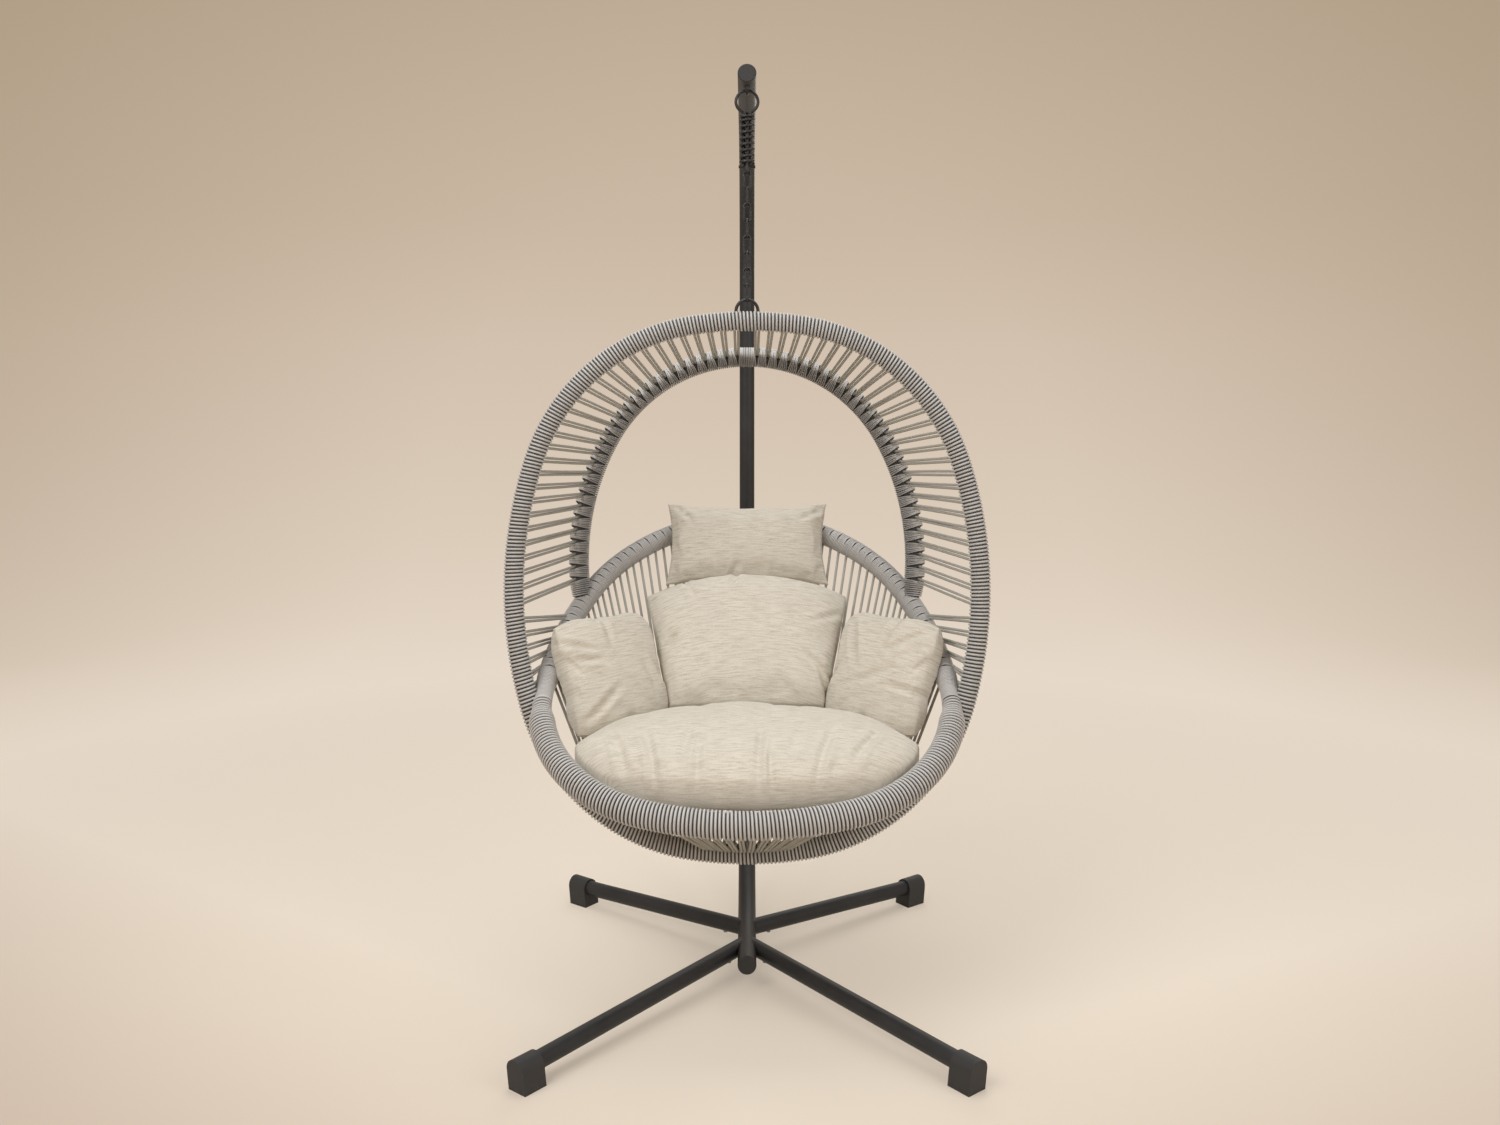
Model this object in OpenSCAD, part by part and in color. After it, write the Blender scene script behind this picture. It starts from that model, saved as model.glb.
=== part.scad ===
// Hanging egg chair: a bowed tube stand carries a rope-wound basket on a spring and a chain.
// Millimetres, +Z up, the front of the chair faces -Y. The origin lies on the floor below the middle.

/* [Stand] */
// Height of the stand, to the top of the arm's end
stand_height = 1966; // [1700:1:2200]
// Distance from the hang point back to the middle of the spine
spine_reach = 760; // [680:1:900]
// Outer diameter of the bow tube
bow_d = 40; // [34:1:50]
// Wall of the bow tube
bow_wall = 2; // [1.5:0.1:3]
// Radius of the lower bend, on the tube's middle line
low_bend_r = 718; // [560:1:760]
// Radius of the upper bend, on the tube's middle line
top_bend_r = 300; // [200:1:360]
// Slope of the arm, rising to the front, in degrees
arm_rise = 6; // [2:0.5:10]
// Height of the base tube's middle line over the floor
base_z = 57; // [50:1:70]
// How far both tube ends stand in front of the hang point
front_overhang = 40; // [30:1:80]
// Height of the joint between the lower and the upper bow
joint_z = 860; // [800:1:950]

/* [Legs and feet] */
// Outer diameter of the leg tubes
leg_d = 34; // [28:1:38]
// Wall of the leg tubes
leg_wall = 1.5; // [1:0.1:2.5]
// Sideways distance from the middle to each foot
foot_spread = 405; // [350:1:480]
// Distance from the hang point forward to the front feet
front_foot_reach = 425; // [380:1:480]
// Distance from the hang point back to the rear feet
rear_foot_reach = 443; // [400:1:520]
// Place of the front legs on the base tube, behind the hang point
front_leg_y = 70; // [50:1:90]
// Place of the rear legs on the base tube, behind the hang point
rear_leg_y = 135; // [125:1:180]
// Length of a foot block
foot_length = 52; // [44:1:64]
// Width of a foot block
foot_width = 45; // [42:1:56]
// Height of a foot block
foot_height = 62; // [58:1:72]

/* [Hanging gear] */
// Wire of the arm's eye and of the basket's loop
eye_wire = 7; // [6:0.5:9]
// Wire of the two drawbars
bar_wire = 6.5; // [5:0.5:7]
// Outer diameter of the upper drawbar's round eye
bar_eye_d = 54; // [48:1:62]
// Outer diameter of the spring
spring_d = 34; // [32:1:40]
// Wire of the spring
spring_wire = 6; // [5:0.5:6]
// Length of the spring between the drawbars' hooks
spring_length = 109; // [90:1:130]
// Turns of the spring
spring_turns = 9; // [7:1:11]
// Length of a chain link, over the wire
link_length = 45; // [40:0.1:50]
// Width of a chain link, over the wire
link_width = 19; // [18:0.5:22]
// Wire of a chain link
link_wire = 5; // [4:0.5:6]

/* [Basket frame] */
// Half width of the outer hoop, on the tube's middle line
hoop_half_w = 491; // [440:1:540]
// Half height of the outer hoop, on the tube's middle line
hoop_half_h = 554; // [500:1:600]
// Lean of the outer hoop, its foot coming forward, in degrees
hoop_lean = 6; // [4:0.5:10]
// Half width of the inner hoop, on the tube's middle line
inner_half_w = 382; // [350:1:420]
// Height of the inner hoop from its widest place to its top, in its own plane
inner_half_h = 455; // [420:1:480]
// Place of the inner hoop's foot on the seat ring, measured along the ring from the weld
inner_foot = 300; // [270:1:330]
// How far the inner hoop's top lies behind the outer hoop's top
hood_depth = 240; // [200:1:280]
// Place of the seat ring's welds, measured along the hoop below its widest place
weld_drop = 258; // [220:1:300]
// How far the inner hoop's top lies below the outer hoop's top
hood_drop = 75; // [60:1:90]
// Slope of the seat ring, its back up, in degrees
seat_slope = 33; // [28:0.5:38]
// Length of the seat ring ahead of its widest place, along its own plane
seat_front = 313; // [270:1:350]
// Length of the seat ring behind its widest place, along its own plane
seat_back = 590; // [520:1:620]
// Outer diameter of the hoops' steel tube
frame_d = 30; // [25:1:34]
// Wall of the hoops' steel tube
frame_wall = 1.5; // [1:0.1:2.5]

/* [Rope] */
// Thickness of the rope wound on the outer hoop
outer_rope = 7; // [5:0.5:9]
// Thickness of the rope wound on the inner hoop and on the back of the seat ring
back_rope = 8; // [5:0.5:10]
// Thickness of the rope wound on the front of the seat ring
front_rope = 12; // [8:0.5:14]
// Diameter of a free strand
strand_d = 6; // [4:0.5:8]
// Middle distance of the two strands of a pair
pair_pitch = 8.5; // [7:0.5:10]
// Distance of the hood's pairs along the outer hoop
hood_pitch = 31.1; // [28:0.1:40]
// Pairs of the hood that end on the inner hoop, on each side
hood_pairs = 29; // [14:1:30]
// Pairs of the hood that end on the seat ring, on each side
side_pairs = 6; // [2:1:6]
// How far the hood's inner ends are drawn up at the side of the inner hoop
hood_lift = 22; // [0:1:30]
// Distance of the web's strands along the back of the seat ring
web_pitch = 23; // [18:0.5:40]
// Distance of the web's strands along the foot of the outer hoop, behind the seat
web_gather = 10; // [8:0.5:11]
// Pairs of strands under the front of the seat
front_pairs = 12; // [6:2:14]

/* [Cushions] */
// Width of the seat cushion
seat_w = 690; // [560:5:700]
// Depth of the seat cushion
seat_d = 330; // [280:5:350]
// Thickness of the seat cushion
seat_t = 138; // [100:1:150]
// Width of the back cushion at its middle
back_w = 400; // [340:5:410]
// Height of the back cushion
back_h = 330; // [280:5:350]
// Thickness of the back cushion
back_t = 110; // [80:5:120]
// Width of the head cushion
head_w = 370; // [300:5:380]
// Height of the head cushion
head_h = 200; // [160:5:205]
// Thickness of the head cushion
head_t = 80; // [60:5:90]
// Width of an arm cushion
arm_w = 244; // [200:1:250]
// Height of an arm cushion
arm_h = 250; // [200:5:255]
// Thickness of an arm cushion
arm_t = 84; // [60:1:90]

/* [Hidden] */
// Radial play of a tube slid over or into another one, and of seats
play = 0.3;
// Play where a tube is cut to fit round another one
leg_play = 0.1;
// Fragments of a hoop's sweep, of a tube's section and of a strand
sweep_fn = 180;
tube_fn = 32;
strand_fn = 16;
wire_fn = 24;
// A bar is a chain of runs: every second run is thicker by a swell, and its neighbours lap into it
swell = 0.05;
bow_swell = 0.1;
wrap_swell = 0.45;
// Lap of a wire's runs
wire_lap = 0.3;

// ---- Stand layout, with the hang point's vertical line at y = 0 ----
bow_r = bow_d / 2;
leg_r = leg_d / 2;
arm_end_z = stand_height - bow_r;
// Middle of the upper bend
top_bend_c = [spine_reach - top_bend_r,
              arm_end_z - (top_bend_r + (spine_reach - top_bend_r + front_overhang) * sin(arm_rise))
              / cos(arm_rise)];
low_bend_c = [spine_reach - low_bend_r, base_z + low_bend_r];
// The stand's extent from the front feet to the spine sets the shift that centres the part
function unit(v) = v / norm(v);
front_leg_dir = unit([foot_spread, -front_foot_reach - front_leg_y, 0]);
// Slant of a foot's end faces, in degrees
foot_slant = 7;
foot_arch_r = foot_width / 2;
foot_axis_z = foot_height - foot_arch_r;
foot_shift = foot_height / 2 * tan(foot_slant);
foot_shoulder = foot_length / 2 + (foot_axis_z - foot_height / 2) * tan(foot_slant);
stand_front = -front_foot_reach + front_leg_dir.y * foot_shoulder
    - foot_arch_r * norm([front_leg_dir.y * tan(foot_slant), front_leg_dir.x]);
stand_rear = spine_reach + bow_r;
hang_y = -(stand_front + stand_rear) / 2;

// ---- Hanging gear, from the arm down ----
eye_bend_r = 12;
// Play of the drawbars' legs inside the spring, and of the spring's end on the neck
bar_play = 0.5;
arm_under_z = arm_end_z - front_overhang * tan(arm_rise) - bow_r / cos(arm_rise);
arm_eye_z = arm_under_z - eye_bend_r;
bar_r = bar_wire / 2;
bar_eye_r = bar_eye_d / 2 - bar_r;
swing_z = arm_eye_z + eye_wire / 2 + bar_r + play;
bar_eye_z = swing_z - bar_eye_r;
bar_leg_x = spring_d / 2 - spring_wire - bar_r - bar_play;
neck_r = 6;
neck_z = bar_eye_z - sqrt(pow(bar_eye_r + neck_r, 2) - pow(bar_leg_x + neck_r, 2));
spring_top = neck_z - bar_play;
spring_bottom = spring_top - spring_length;
hook_bend_r = 5;
// The drawbars' hooks reach past the spring by hook_over; the lower bar's round end hangs eye_drop below
hook_over = 1;
eye_drop = 12;
hook_reach = spring_d / 2 + hook_over;
low_hook_z = spring_bottom - play - bar_r;
high_hook_z = spring_top + play + bar_r;
chain_eye_z = low_hook_z - eye_drop - bar_r;
link_r = link_wire / 2;
first_link_z = chain_eye_z + bar_r + link_r + play - (link_length / 2 - link_r);
link_pitch = link_length - 2 * link_wire - play;
links = 8;
function link_z(i) = first_link_z - i * link_pitch;
roll_z = link_z(links - 1) - (link_length / 2 - link_r);
loop_wire_z = roll_z + link_r + play + eye_wire / 2;
loop_bend_r = 23.5;
// Height of the loop's straight legs over the hoop's middle line
loop_leg = 22;
loop_z = loop_wire_z - loop_bend_r;
hoop_top_z = loop_z - loop_leg;

// ---- The ovals' shapes: radius of the end's arc, its half angle, and the side arc's angle ----
outer_end_r = 810;
outer_end_a = 8;
outer_side_a = 17;
inner_end_r = 364;
inner_end_a = 5;
inner_side_a = 28;
ring_back_end_r = 330;
ring_back_end_a = 25;
ring_front_end_r = 760;
ring_front_end_a = 15;
ring_side_a = 24;

// ---- Arc paths: [centre x, centre y, radius, from angle, to angle], joined tangent to tangent ----
// A quarter of an oval, from its top (angle 90) to its side (angle 0). end_r and end_a give the flat
// arc at the top, side_a the angle of the side arc; the other two radii follow from w and h.
function quarter(w, h, end_r, end_a, side_a) =
    let (
        k1 = sin(side_a) - cos(end_a),
        k2 = -sin(side_a),
        k3 = cos(side_a) - sin(end_a),
        k4 = 1 - cos(side_a),
        b1 = end_r - h - end_r * cos(end_a),
        b2 = w - end_r * sin(end_a),
        det = k1 * k4 - k2 * k3,
        shoulder_r = (b1 * k4 - k2 * b2) / det,
        side_r = (k1 * b2 - b1 * k3) / det,
        c1 = [0, h - end_r],
        c2 = c1 + (end_r - shoulder_r) * [sin(end_a), cos(end_a)]
    )
    [[c1.x, c1.y, end_r, 90, 90 - end_a],
     [c2.x, c2.y, shoulder_r, 90 - end_a, side_a],
     [w - side_r, 0, side_r, side_a, 0]];
// The same quarter below the side, from its side down to its foot
function flipped(arcs) = [for (i = [len(arcs) - 1:-1:0])
    [arcs[i][0], -arcs[i][1], arcs[i][2], -arcs[i][4], -arcs[i][3]]];
function arc_length(arc) = arc[2] * abs(arc[4] - arc[3]) * PI / 180;
function path_length(arcs, i = 0) = i == len(arcs) ? 0 : arc_length(arcs[i]) + path_length(arcs, i + 1);
// Point of the path at a length s, and the angle of its outward normal
function path_angle(arcs, s, i = 0) =
    s <= arc_length(arcs[i]) || i == len(arcs) - 1
    ? [i, arcs[i][3] + (arcs[i][4] - arcs[i][3]) * s / arc_length(arcs[i])]
    : path_angle(arcs, s - arc_length(arcs[i]), i + 1);
function path_point(arcs, s) =
    let (at = path_angle(arcs, s), arc = arcs[at[0]])
    [arc[0] + arc[2] * cos(at[1]), arc[1] + arc[2] * sin(at[1])];

// ---- Outer hoop: one oval, its plane leaning about the top ----
outer_quarter = quarter(hoop_half_w, hoop_half_h, outer_end_r, outer_end_a, outer_side_a);
outer_path = concat(outer_quarter, flipped(outer_quarter));
function outer_to_part(p) =
    [p.x, (p.y - hoop_half_h) * sin(hoop_lean), hoop_top_z + (p.y - hoop_half_h) * cos(hoop_lean)];
function outer_at(s) = outer_to_part(path_point(outer_path, s));
outer_wrap_r = frame_d / 2 + play + outer_rope;
back_wrap_r = frame_d / 2 + play + back_rope;
front_wrap_r = frame_d / 2 + play + front_rope;

// ---- Seat ring: it touches the hoop's tube at a weld on each side, where it is at its widest ----
weld_gap = 0.2;
weld_s = path_length(outer_quarter) + weld_drop;
weld_on_hoop = outer_at(weld_s);
hoop_dir = unit(outer_at(weld_s + 0.5) - outer_at(weld_s - 0.5));
ring_dir = [0, cos(seat_slope), sin(seat_slope)];
weld_normal = let (n = unit(cross(hoop_dir, ring_dir))) n.x > 0 ? -n : n;
weld_on_ring = weld_on_hoop + weld_normal * (frame_d + weld_gap);
ring_half_w = weld_on_ring.x;
ring_back_quarter = quarter(ring_half_w, seat_back, ring_back_end_r, ring_back_end_a, ring_side_a);
ring_front_quarter =
    flipped(quarter(ring_half_w, seat_front, ring_front_end_r, ring_front_end_a, ring_side_a));
function ring_to_part(p) =
    [p.x, weld_on_ring.y + p.y * cos(seat_slope), weld_on_ring.z + p.y * sin(seat_slope)];
function ring_back_at(s) = ring_to_part(path_point(ring_back_quarter, s));
function ring_front_at(s) = ring_to_part(path_point(ring_front_quarter, s));
ring_back_length = path_length(ring_back_quarter);
ring_front_length = path_length(ring_front_quarter);

// ---- Inner hoop: its plane runs from its top to its two feet on the seat ring ----
inner_foot_s = ring_back_length - inner_foot;
inner_top = [0, hood_depth, hoop_top_z - hood_drop];
inner_end = ring_back_at(inner_foot_s);
inner_lean = atan2(inner_top.y - inner_end.y, inner_top.z - inner_end.z);
inner_below = norm([inner_top.y - inner_end.y, inner_top.z - inner_end.z]) - inner_half_h;
inner_inset = inner_half_w - inner_end.x;
inner_low_r = (pow(inner_below, 2) + pow(inner_inset, 2)) / (2 * inner_inset);
inner_low_a = asin(inner_below / inner_low_r);
inner_quarter = quarter(inner_half_w, inner_half_h, inner_end_r, inner_end_a, inner_side_a);
inner_path = concat(inner_quarter, [[inner_half_w - inner_low_r, 0, inner_low_r, 0, -inner_low_a]]);
inner_length = path_length(inner_path);
function inner_to_part(p) =
    [p.x, inner_top.y + (p.y - inner_half_h) * sin(inner_lean),
     inner_top.z + (p.y - inner_half_h) * cos(inner_lean)];
function inner_at(s) = inner_to_part(path_point(inner_path, s));
inner_dir = unit(inner_at(inner_length) - inner_at(inner_length - 1));
ring_at_foot_dir = unit(ring_back_at(inner_foot_s + 1) - ring_back_at(inner_foot_s - 1));

// ---- Where wraps end: clear of a wrap of radius r2 that crosses at the angle of two directions ----
function end_off(d1, d2, r1, r2, gap = play) =
    let (c = abs(d1 * d2)) (r2 + gap + r1 * c) / sqrt(1 - c * c);
// Play between the ends of two wraps that meet at the inner hoop's foot, and at the welds
foot_wrap_play = 2;
weld_wrap_play = 1;
inner_wrap_off = end_off(inner_dir, ring_at_foot_dir, back_wrap_r, back_wrap_r, foot_wrap_play);
inner_wrap_length = inner_length - inner_wrap_off;
// Two tubes that touch side by side: their wraps are clear once the crossing lines are far enough apart
function weld_off(r1, r2) =
    let (c = hoop_dir * ring_dir)
    sqrt((pow(r1 + r2 + weld_wrap_play, 2) - pow(frame_d, 2)) / (1 - c * c)) + r2 * abs(c);
ring_back_off = weld_off(outer_wrap_r, back_wrap_r);
ring_front_off = weld_off(outer_wrap_r, front_wrap_r);

// ---- Strands ----
strand_r = strand_d / 2;
// Play between a strand's end and the wrap, and how much more the web has at the hoop's foot
strand_gap = 0.8;
web_gap = 1;
function tangent(ps) = unit(ps[1] - ps[0]);
function outer_dir(s) = tangent([outer_at(s - 0.5), outer_at(s + 0.5)]);
function inner_dir_at(s) = tangent([inner_at(s - 0.5), inner_at(s + 0.5)]);
function ring_back_dir(s) = tangent([ring_back_at(s - 0.5), ring_back_at(s + 0.5)]);
function ring_front_dir(s) = tangent([ring_front_at(s - 0.5), ring_front_at(s + 0.5)]);
// The first pair leaves the hoop this far inside the loop's leg
hood_lead = 12;
// The hood's inner ends are drawn up from this share of its pairs on
lift_from = 0.3;
hood_start = pair_pitch / 2 + eye_wire + loop_bend_r - hood_lead;
hood_inner_pitch = (inner_wrap_length - pair_pitch - hood_start) / (hood_pairs - 1);
side_pitch = (inner_foot - ring_back_off - back_wrap_r - 2 * pair_pitch) / side_pairs;
// Places of pair k along the outer hoop and along the inner hoop
function hood_outer_s(k) = hood_start + k * hood_pitch;
function hood_inner_s(k) =
    let (t = (k / hood_pairs - lift_from) / (1 - lift_from))
    hood_start + k * hood_inner_pitch - (t > 0 ? hood_lift * sin(180 * min(t, 1)) : 0);
function side_ring_s(k) = inner_foot_s + back_wrap_r + 2 * pair_pitch + k * side_pitch;
outer_length = path_length(outer_path);
// The web behind the seat: strand i leaves the ring's back and ends near the hoop's foot
web_count = floor((ring_back_length - ring_back_off - strand_d) / web_pitch);
function web_ring_s(i) = (i + 0.5) * web_pitch;
function web_outer_s(i) = outer_length - (i + 0.5) * web_gather;
// Distances of the front's pairs along the seat ring and along the hoop's foot
front_ring_pitch = 36;
front_outer_pitch = 13.6;
// A pair's two strands close up to this share of their distance at the hoop's foot
front_closing = 0.78;

// ---- Building blocks ----
module at_hang() { translate([0, hang_y, 0]) children(); }
module both_sides() {
    children();
    mirror([1, 0, 0]) children();
}
// A plane's x and y become the part's y and z
module side_plane() { rotate([90, 0, 90]) children(); }
// A plane's x and y become the part's x and z
module front_plane() { rotate([90, 0, 0]) children(); }
module rod(p, q, r, fn = tube_fn) {
    d = q - p;
    translate(p) rotate([0, acos(d.z / norm(d)), atan2(d.y, d.x)])
        cylinder(h = norm(d), r = r, $fn = fn);
}
// A straight run [x, y, x, y] or an arc [centre x, centre y, radius, from, to] in the plane z = 0
module run(seg, r, before, after, fn) {
    if (len(seg) == 4) {
        p = [seg[0], seg[1], 0];
        q = [seg[2], seg[3], 0];
        translate(p - before * unit(q - p)) rotate([0, 90, atan2(q.y - p.y, q.x - p.x)]) rotate(-90)
            cylinder(h = norm(q - p) + before + after, r = r, $fn = fn);
    } else {
        way = seg[4] > seg[3] ? 1 : -1;
        from = seg[3] - way * before / seg[2] * 180 / PI;
        to = seg[4] + way * after / seg[2] * 180 / PI;
        translate([seg[0], seg[1], 0])
            rotate(min(from, to))
                rotate_extrude(angle = abs(to - from), $fn = sweep_fn)
                    translate([seg[2], 0]) circle(r, $fn = fn);
    }
}
// A round bar along joined runs; over lengthens its two open ends
module bar(path, r, over = 0, lap = 1, fn = tube_fn, step = swell) {
    last = len(path) - 1;
    for (i = [0:last]) {
        thick = i % 2 == 1;
        inner_lap = thick ? 0 : lap;
        run(path[i], r + (thick ? step : 0), i == 0 ? over : inner_lap, i == last ? over : inner_lap, fn);
    }
}
module closed_bar(path, r, lap = 1, fn = tube_fn, step = swell) {
    for (i = [0:len(path) - 1]) {
        thick = i % 2 == 1;
        run(path[i], r + (thick ? step : 0), thick ? 0 : lap, thick ? 0 : lap, fn);
    }
}
function mirror_run(seg) = len(seg) == 4 ? [-seg[2], seg[3], -seg[0], seg[1]]
    : [-seg[0], seg[1], seg[2], 180 - seg[4], 180 - seg[3]];
function mirror_path(path) = [for (i = [len(path) - 1:-1:0]) mirror_run(path[i])];
// Half an oval whose first arc starts on the axis at angle 90, made whole
function arch(half) =
    concat(mirror_path([for (i = [1:len(half) - 1]) half[i]]),
           [[half[0][0], half[0][1], half[0][2], 180 - half[0][4], half[0][4]]],
           [for (i = [1:len(half) - 1]) half[i]]);
// A whole oval from its upper and its lower quarter, whose side arcs may differ in radius
function oval(upper, lower) =
    let (
        n = len(upper),
        right = concat([for (i = [1:n - 1]) upper[i]], [for (i = [0:n - 2]) lower[i]])
    )
    concat([[upper[0][0], upper[0][1], upper[0][2], 180 - upper[0][4], upper[0][4]]], right,
           [[lower[n - 1][0], lower[n - 1][1], lower[n - 1][2], lower[n - 1][3], -180 - lower[n - 1][3]]],
           mirror_path(right));
// Part of a path, from the length a to the length b
function cut_run(seg, a, b) =
    let (w = (seg[4] - seg[3]) / arc_length(seg))
    [seg[0], seg[1], seg[2], seg[3] + w * a, seg[3] + w * b];
function cut_path(arcs, a, b, i = 0) =
    i >= len(arcs) || b <= 0 ? []
    : let (l = arc_length(arcs[i]))
      concat(a < l ? [cut_run(arcs[i], max(a, 0), min(b, l))] : [], cut_path(arcs, a - l, b - l, i + 1));
module outer_plane() {
    at_hang() translate([0, 0, hoop_top_z]) rotate([90 - hoop_lean, 0, 0])
        translate([0, -hoop_half_h, 0]) children();
}
module inner_plane() {
    at_hang() translate(inner_top) rotate([90 - inner_lean, 0, 0])
        translate([0, -inner_half_h, 0]) children();
}
module ring_plane() {
    at_hang() translate([0, weld_on_ring.y, weld_on_ring.z]) rotate([seat_slope, 0, 0]) children();
}
// A straight strand between two wraps: dp and dq are the wrapped tubes' directions at its ends
module strand(p, q, dp, dq, rp, rq) {
    d = unit(q - p);
    a = end_off(d, dp, strand_r, rp, strand_gap);
    b = end_off(d, dq, strand_r, rq, strand_gap);
    if (norm(q - p) - a - b > strand_d) rod(p + a * d, q - b * d, strand_r, strand_fn);
}

// ---- Bow ----
lower_bow_path = [
    [-front_overhang, base_z, low_bend_c.x, base_z],
    [low_bend_c.x, low_bend_c.y, low_bend_r, -90, 0],
    [spine_reach, low_bend_c.y, spine_reach, joint_z]];
arm_start = top_bend_c + top_bend_r * [sin(arm_rise), cos(arm_rise)];
arm_end = [-front_overhang, arm_end_z];
upper_bow_path = [
    [spine_reach, joint_z, spine_reach, top_bend_c.y],
    [top_bend_c.x, top_bend_c.y, top_bend_r, 0, 90 - arm_rise],
    [arm_start.x, arm_start.y, arm_end.x, arm_end.y]];
sleeve_length = 160;
sleeve_r = bow_r - bow_wall - play;
sleeve_wall = 2;
bolt_off = 40;
bolt_r = 4;
bolt_length = 14;
bolt_head_r = 7;
// Height of a bolt head's rim and of the dome on it, and the dome's flat top
bolt_rim = 2;
bolt_dome = 2.5;
bolt_top_r = 4;
bolt_play = 0.25;
thread_play = 0.05;
// The two joint bolts' line, from the back of the spine inward
module joint_bolts(r, length, out = 0) {
    for (z = [joint_z - bolt_off, joint_z + bolt_off])
        rod([0, spine_reach + bow_r + out, z], [0, spine_reach + bow_r - length, z], r);
}
module lower_bow() {
    color("dimgray") at_hang() difference() {
        side_plane() bar(lower_bow_path, bow_r);
        side_plane() bar(lower_bow_path, bow_r - bow_wall, 1);
        joint_bolts(bolt_r + bolt_play, bow_r, 1);
    }
}
module upper_bow() {
    color("gray") at_hang() difference() {
        side_plane() bar(upper_bow_path, bow_r, step = bow_swell);
        side_plane() bar(upper_bow_path, bow_r - bow_wall, 1, step = bow_swell);
        joint_bolts(bolt_r + bolt_play, bow_r, 1);
    }
}
module bow_sleeve() {
    color("silver") at_hang() difference() {
        translate([0, spine_reach, joint_z - sleeve_length / 2])
            cylinder(h = sleeve_length, r = sleeve_r, $fn = tube_fn);
        translate([0, spine_reach, joint_z - sleeve_length / 2 - 1])
            cylinder(h = sleeve_length + 2, r = sleeve_r - sleeve_wall, $fn = tube_fn);
        joint_bolts(bolt_r + thread_play, bow_r);
    }
}
module bow_bolts() {
    color("silver") at_hang() {
        joint_bolts(bolt_r, bolt_length, 1);
        for (z = [joint_z - bolt_off, joint_z + bolt_off])
            translate([0, spine_reach + bow_r, z]) rotate([-90, 0, 0]) {
                cylinder(h = bolt_rim, r = bolt_head_r, $fn = tube_fn);
                translate([0, 0, bolt_rim])
                    cylinder(h = bolt_dome, r1 = bolt_head_r, r2 = bolt_top_r, $fn = tube_fn);
            }
    }
}
// End cap: a plug in the tube and a chamfered disc on its end, along +z
module end_cap() {
    plug_length = 15;
    plug_r = bow_r - bow_wall - play;
    disc = 2;
    disc_r = bow_r - 0.2;
    chamfer = 1.5;
    translate([0, 0, -plug_length]) cylinder(h = plug_length + 1, r = plug_r, $fn = tube_fn);
    cylinder(h = disc, r = disc_r, $fn = tube_fn);
    translate([0, 0, disc]) cylinder(h = chamfer, r1 = disc_r, r2 = disc_r - chamfer, $fn = tube_fn);
}
module base_cap() {
    color("black") at_hang() translate([0, -front_overhang, base_z]) rotate([90, 0, 0]) end_cap();
}
module arm_cap() {
    color("black") at_hang() translate([0, arm_end.x, arm_end.y]) rotate([90 - arm_rise, 0, 0]) end_cap();
}

// ---- Legs ----
spigot_length = 90;
// Distance of a leg's screw from the base tube's middle, and the screw's sizes
leg_bolt_off = 62;
leg_bolt_r = 3;
leg_bolt_head_r = 5;
leg_bolt_head_h = 3.6;
// Wall of a foot in front of the leg's end
foot_wall = 12;
foot_fn = 64;
front_leg = [0, front_leg_y, low_bend_c.y - sqrt(pow(low_bend_r, 2) - pow(front_leg_y - low_bend_c.x, 2))];
rear_leg = [0, rear_leg_y, low_bend_c.y - sqrt(pow(low_bend_r, 2) - pow(rear_leg_y - low_bend_c.x, 2))];
front_foot = [foot_spread, -front_foot_reach, foot_axis_z];
rear_foot = [foot_spread, rear_foot_reach, foot_axis_z];
function left(p) = [-p.x, p.y, p.z];
// Local z runs along the leg, local x points down
module along(p, q) {
    d = q - p;
    translate(p) rotate([0, acos(d.z / norm(d)), atan2(d.y, d.x)]) children();
}
function leg_length(p, q) = norm(q - p) + foot_length / 2 - foot_wall - play;
module leg(p, q) {
    l = leg_length(p, q);
    difference() {
        along(p, q) cylinder(h = l, r = leg_r, $fn = tube_fn);
        along(p, q) translate([0, 0, -1]) cylinder(h = l + 2, r = leg_r - leg_wall, $fn = tube_fn);
        along(p, q) translate([0, 0, leg_bolt_off]) rotate([0, 90, 0])
            cylinder(h = leg_r + 1, r = leg_bolt_r + bolt_play, $fn = tube_fn);
        side_plane() bar(lower_bow_path, bow_r + leg_play);
    }
}
module spigot(p, q) {
    difference() {
        along(p, q) cylinder(h = spigot_length, r = leg_r - leg_wall - play, $fn = tube_fn);
        along(p, q) translate([0, 0, leg_bolt_off]) rotate([0, 90, 0])
            translate([0, 0, -1]) cylinder(h = leg_r + 1, r = leg_bolt_r + thread_play, $fn = tube_fn);
        side_plane() bar(lower_bow_path, bow_r + leg_play);
    }
}
module leg_bolt(p, q) {
    along(p, q) translate([0, 0, leg_bolt_off]) rotate([0, 90, 0]) {
        cylinder(h = leg_r + 1, r = leg_bolt_r, $fn = tube_fn);
        translate([0, 0, leg_r]) cylinder(h = leg_bolt_head_h, r = leg_bolt_head_r, $fn = 6);
    }
}
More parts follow.
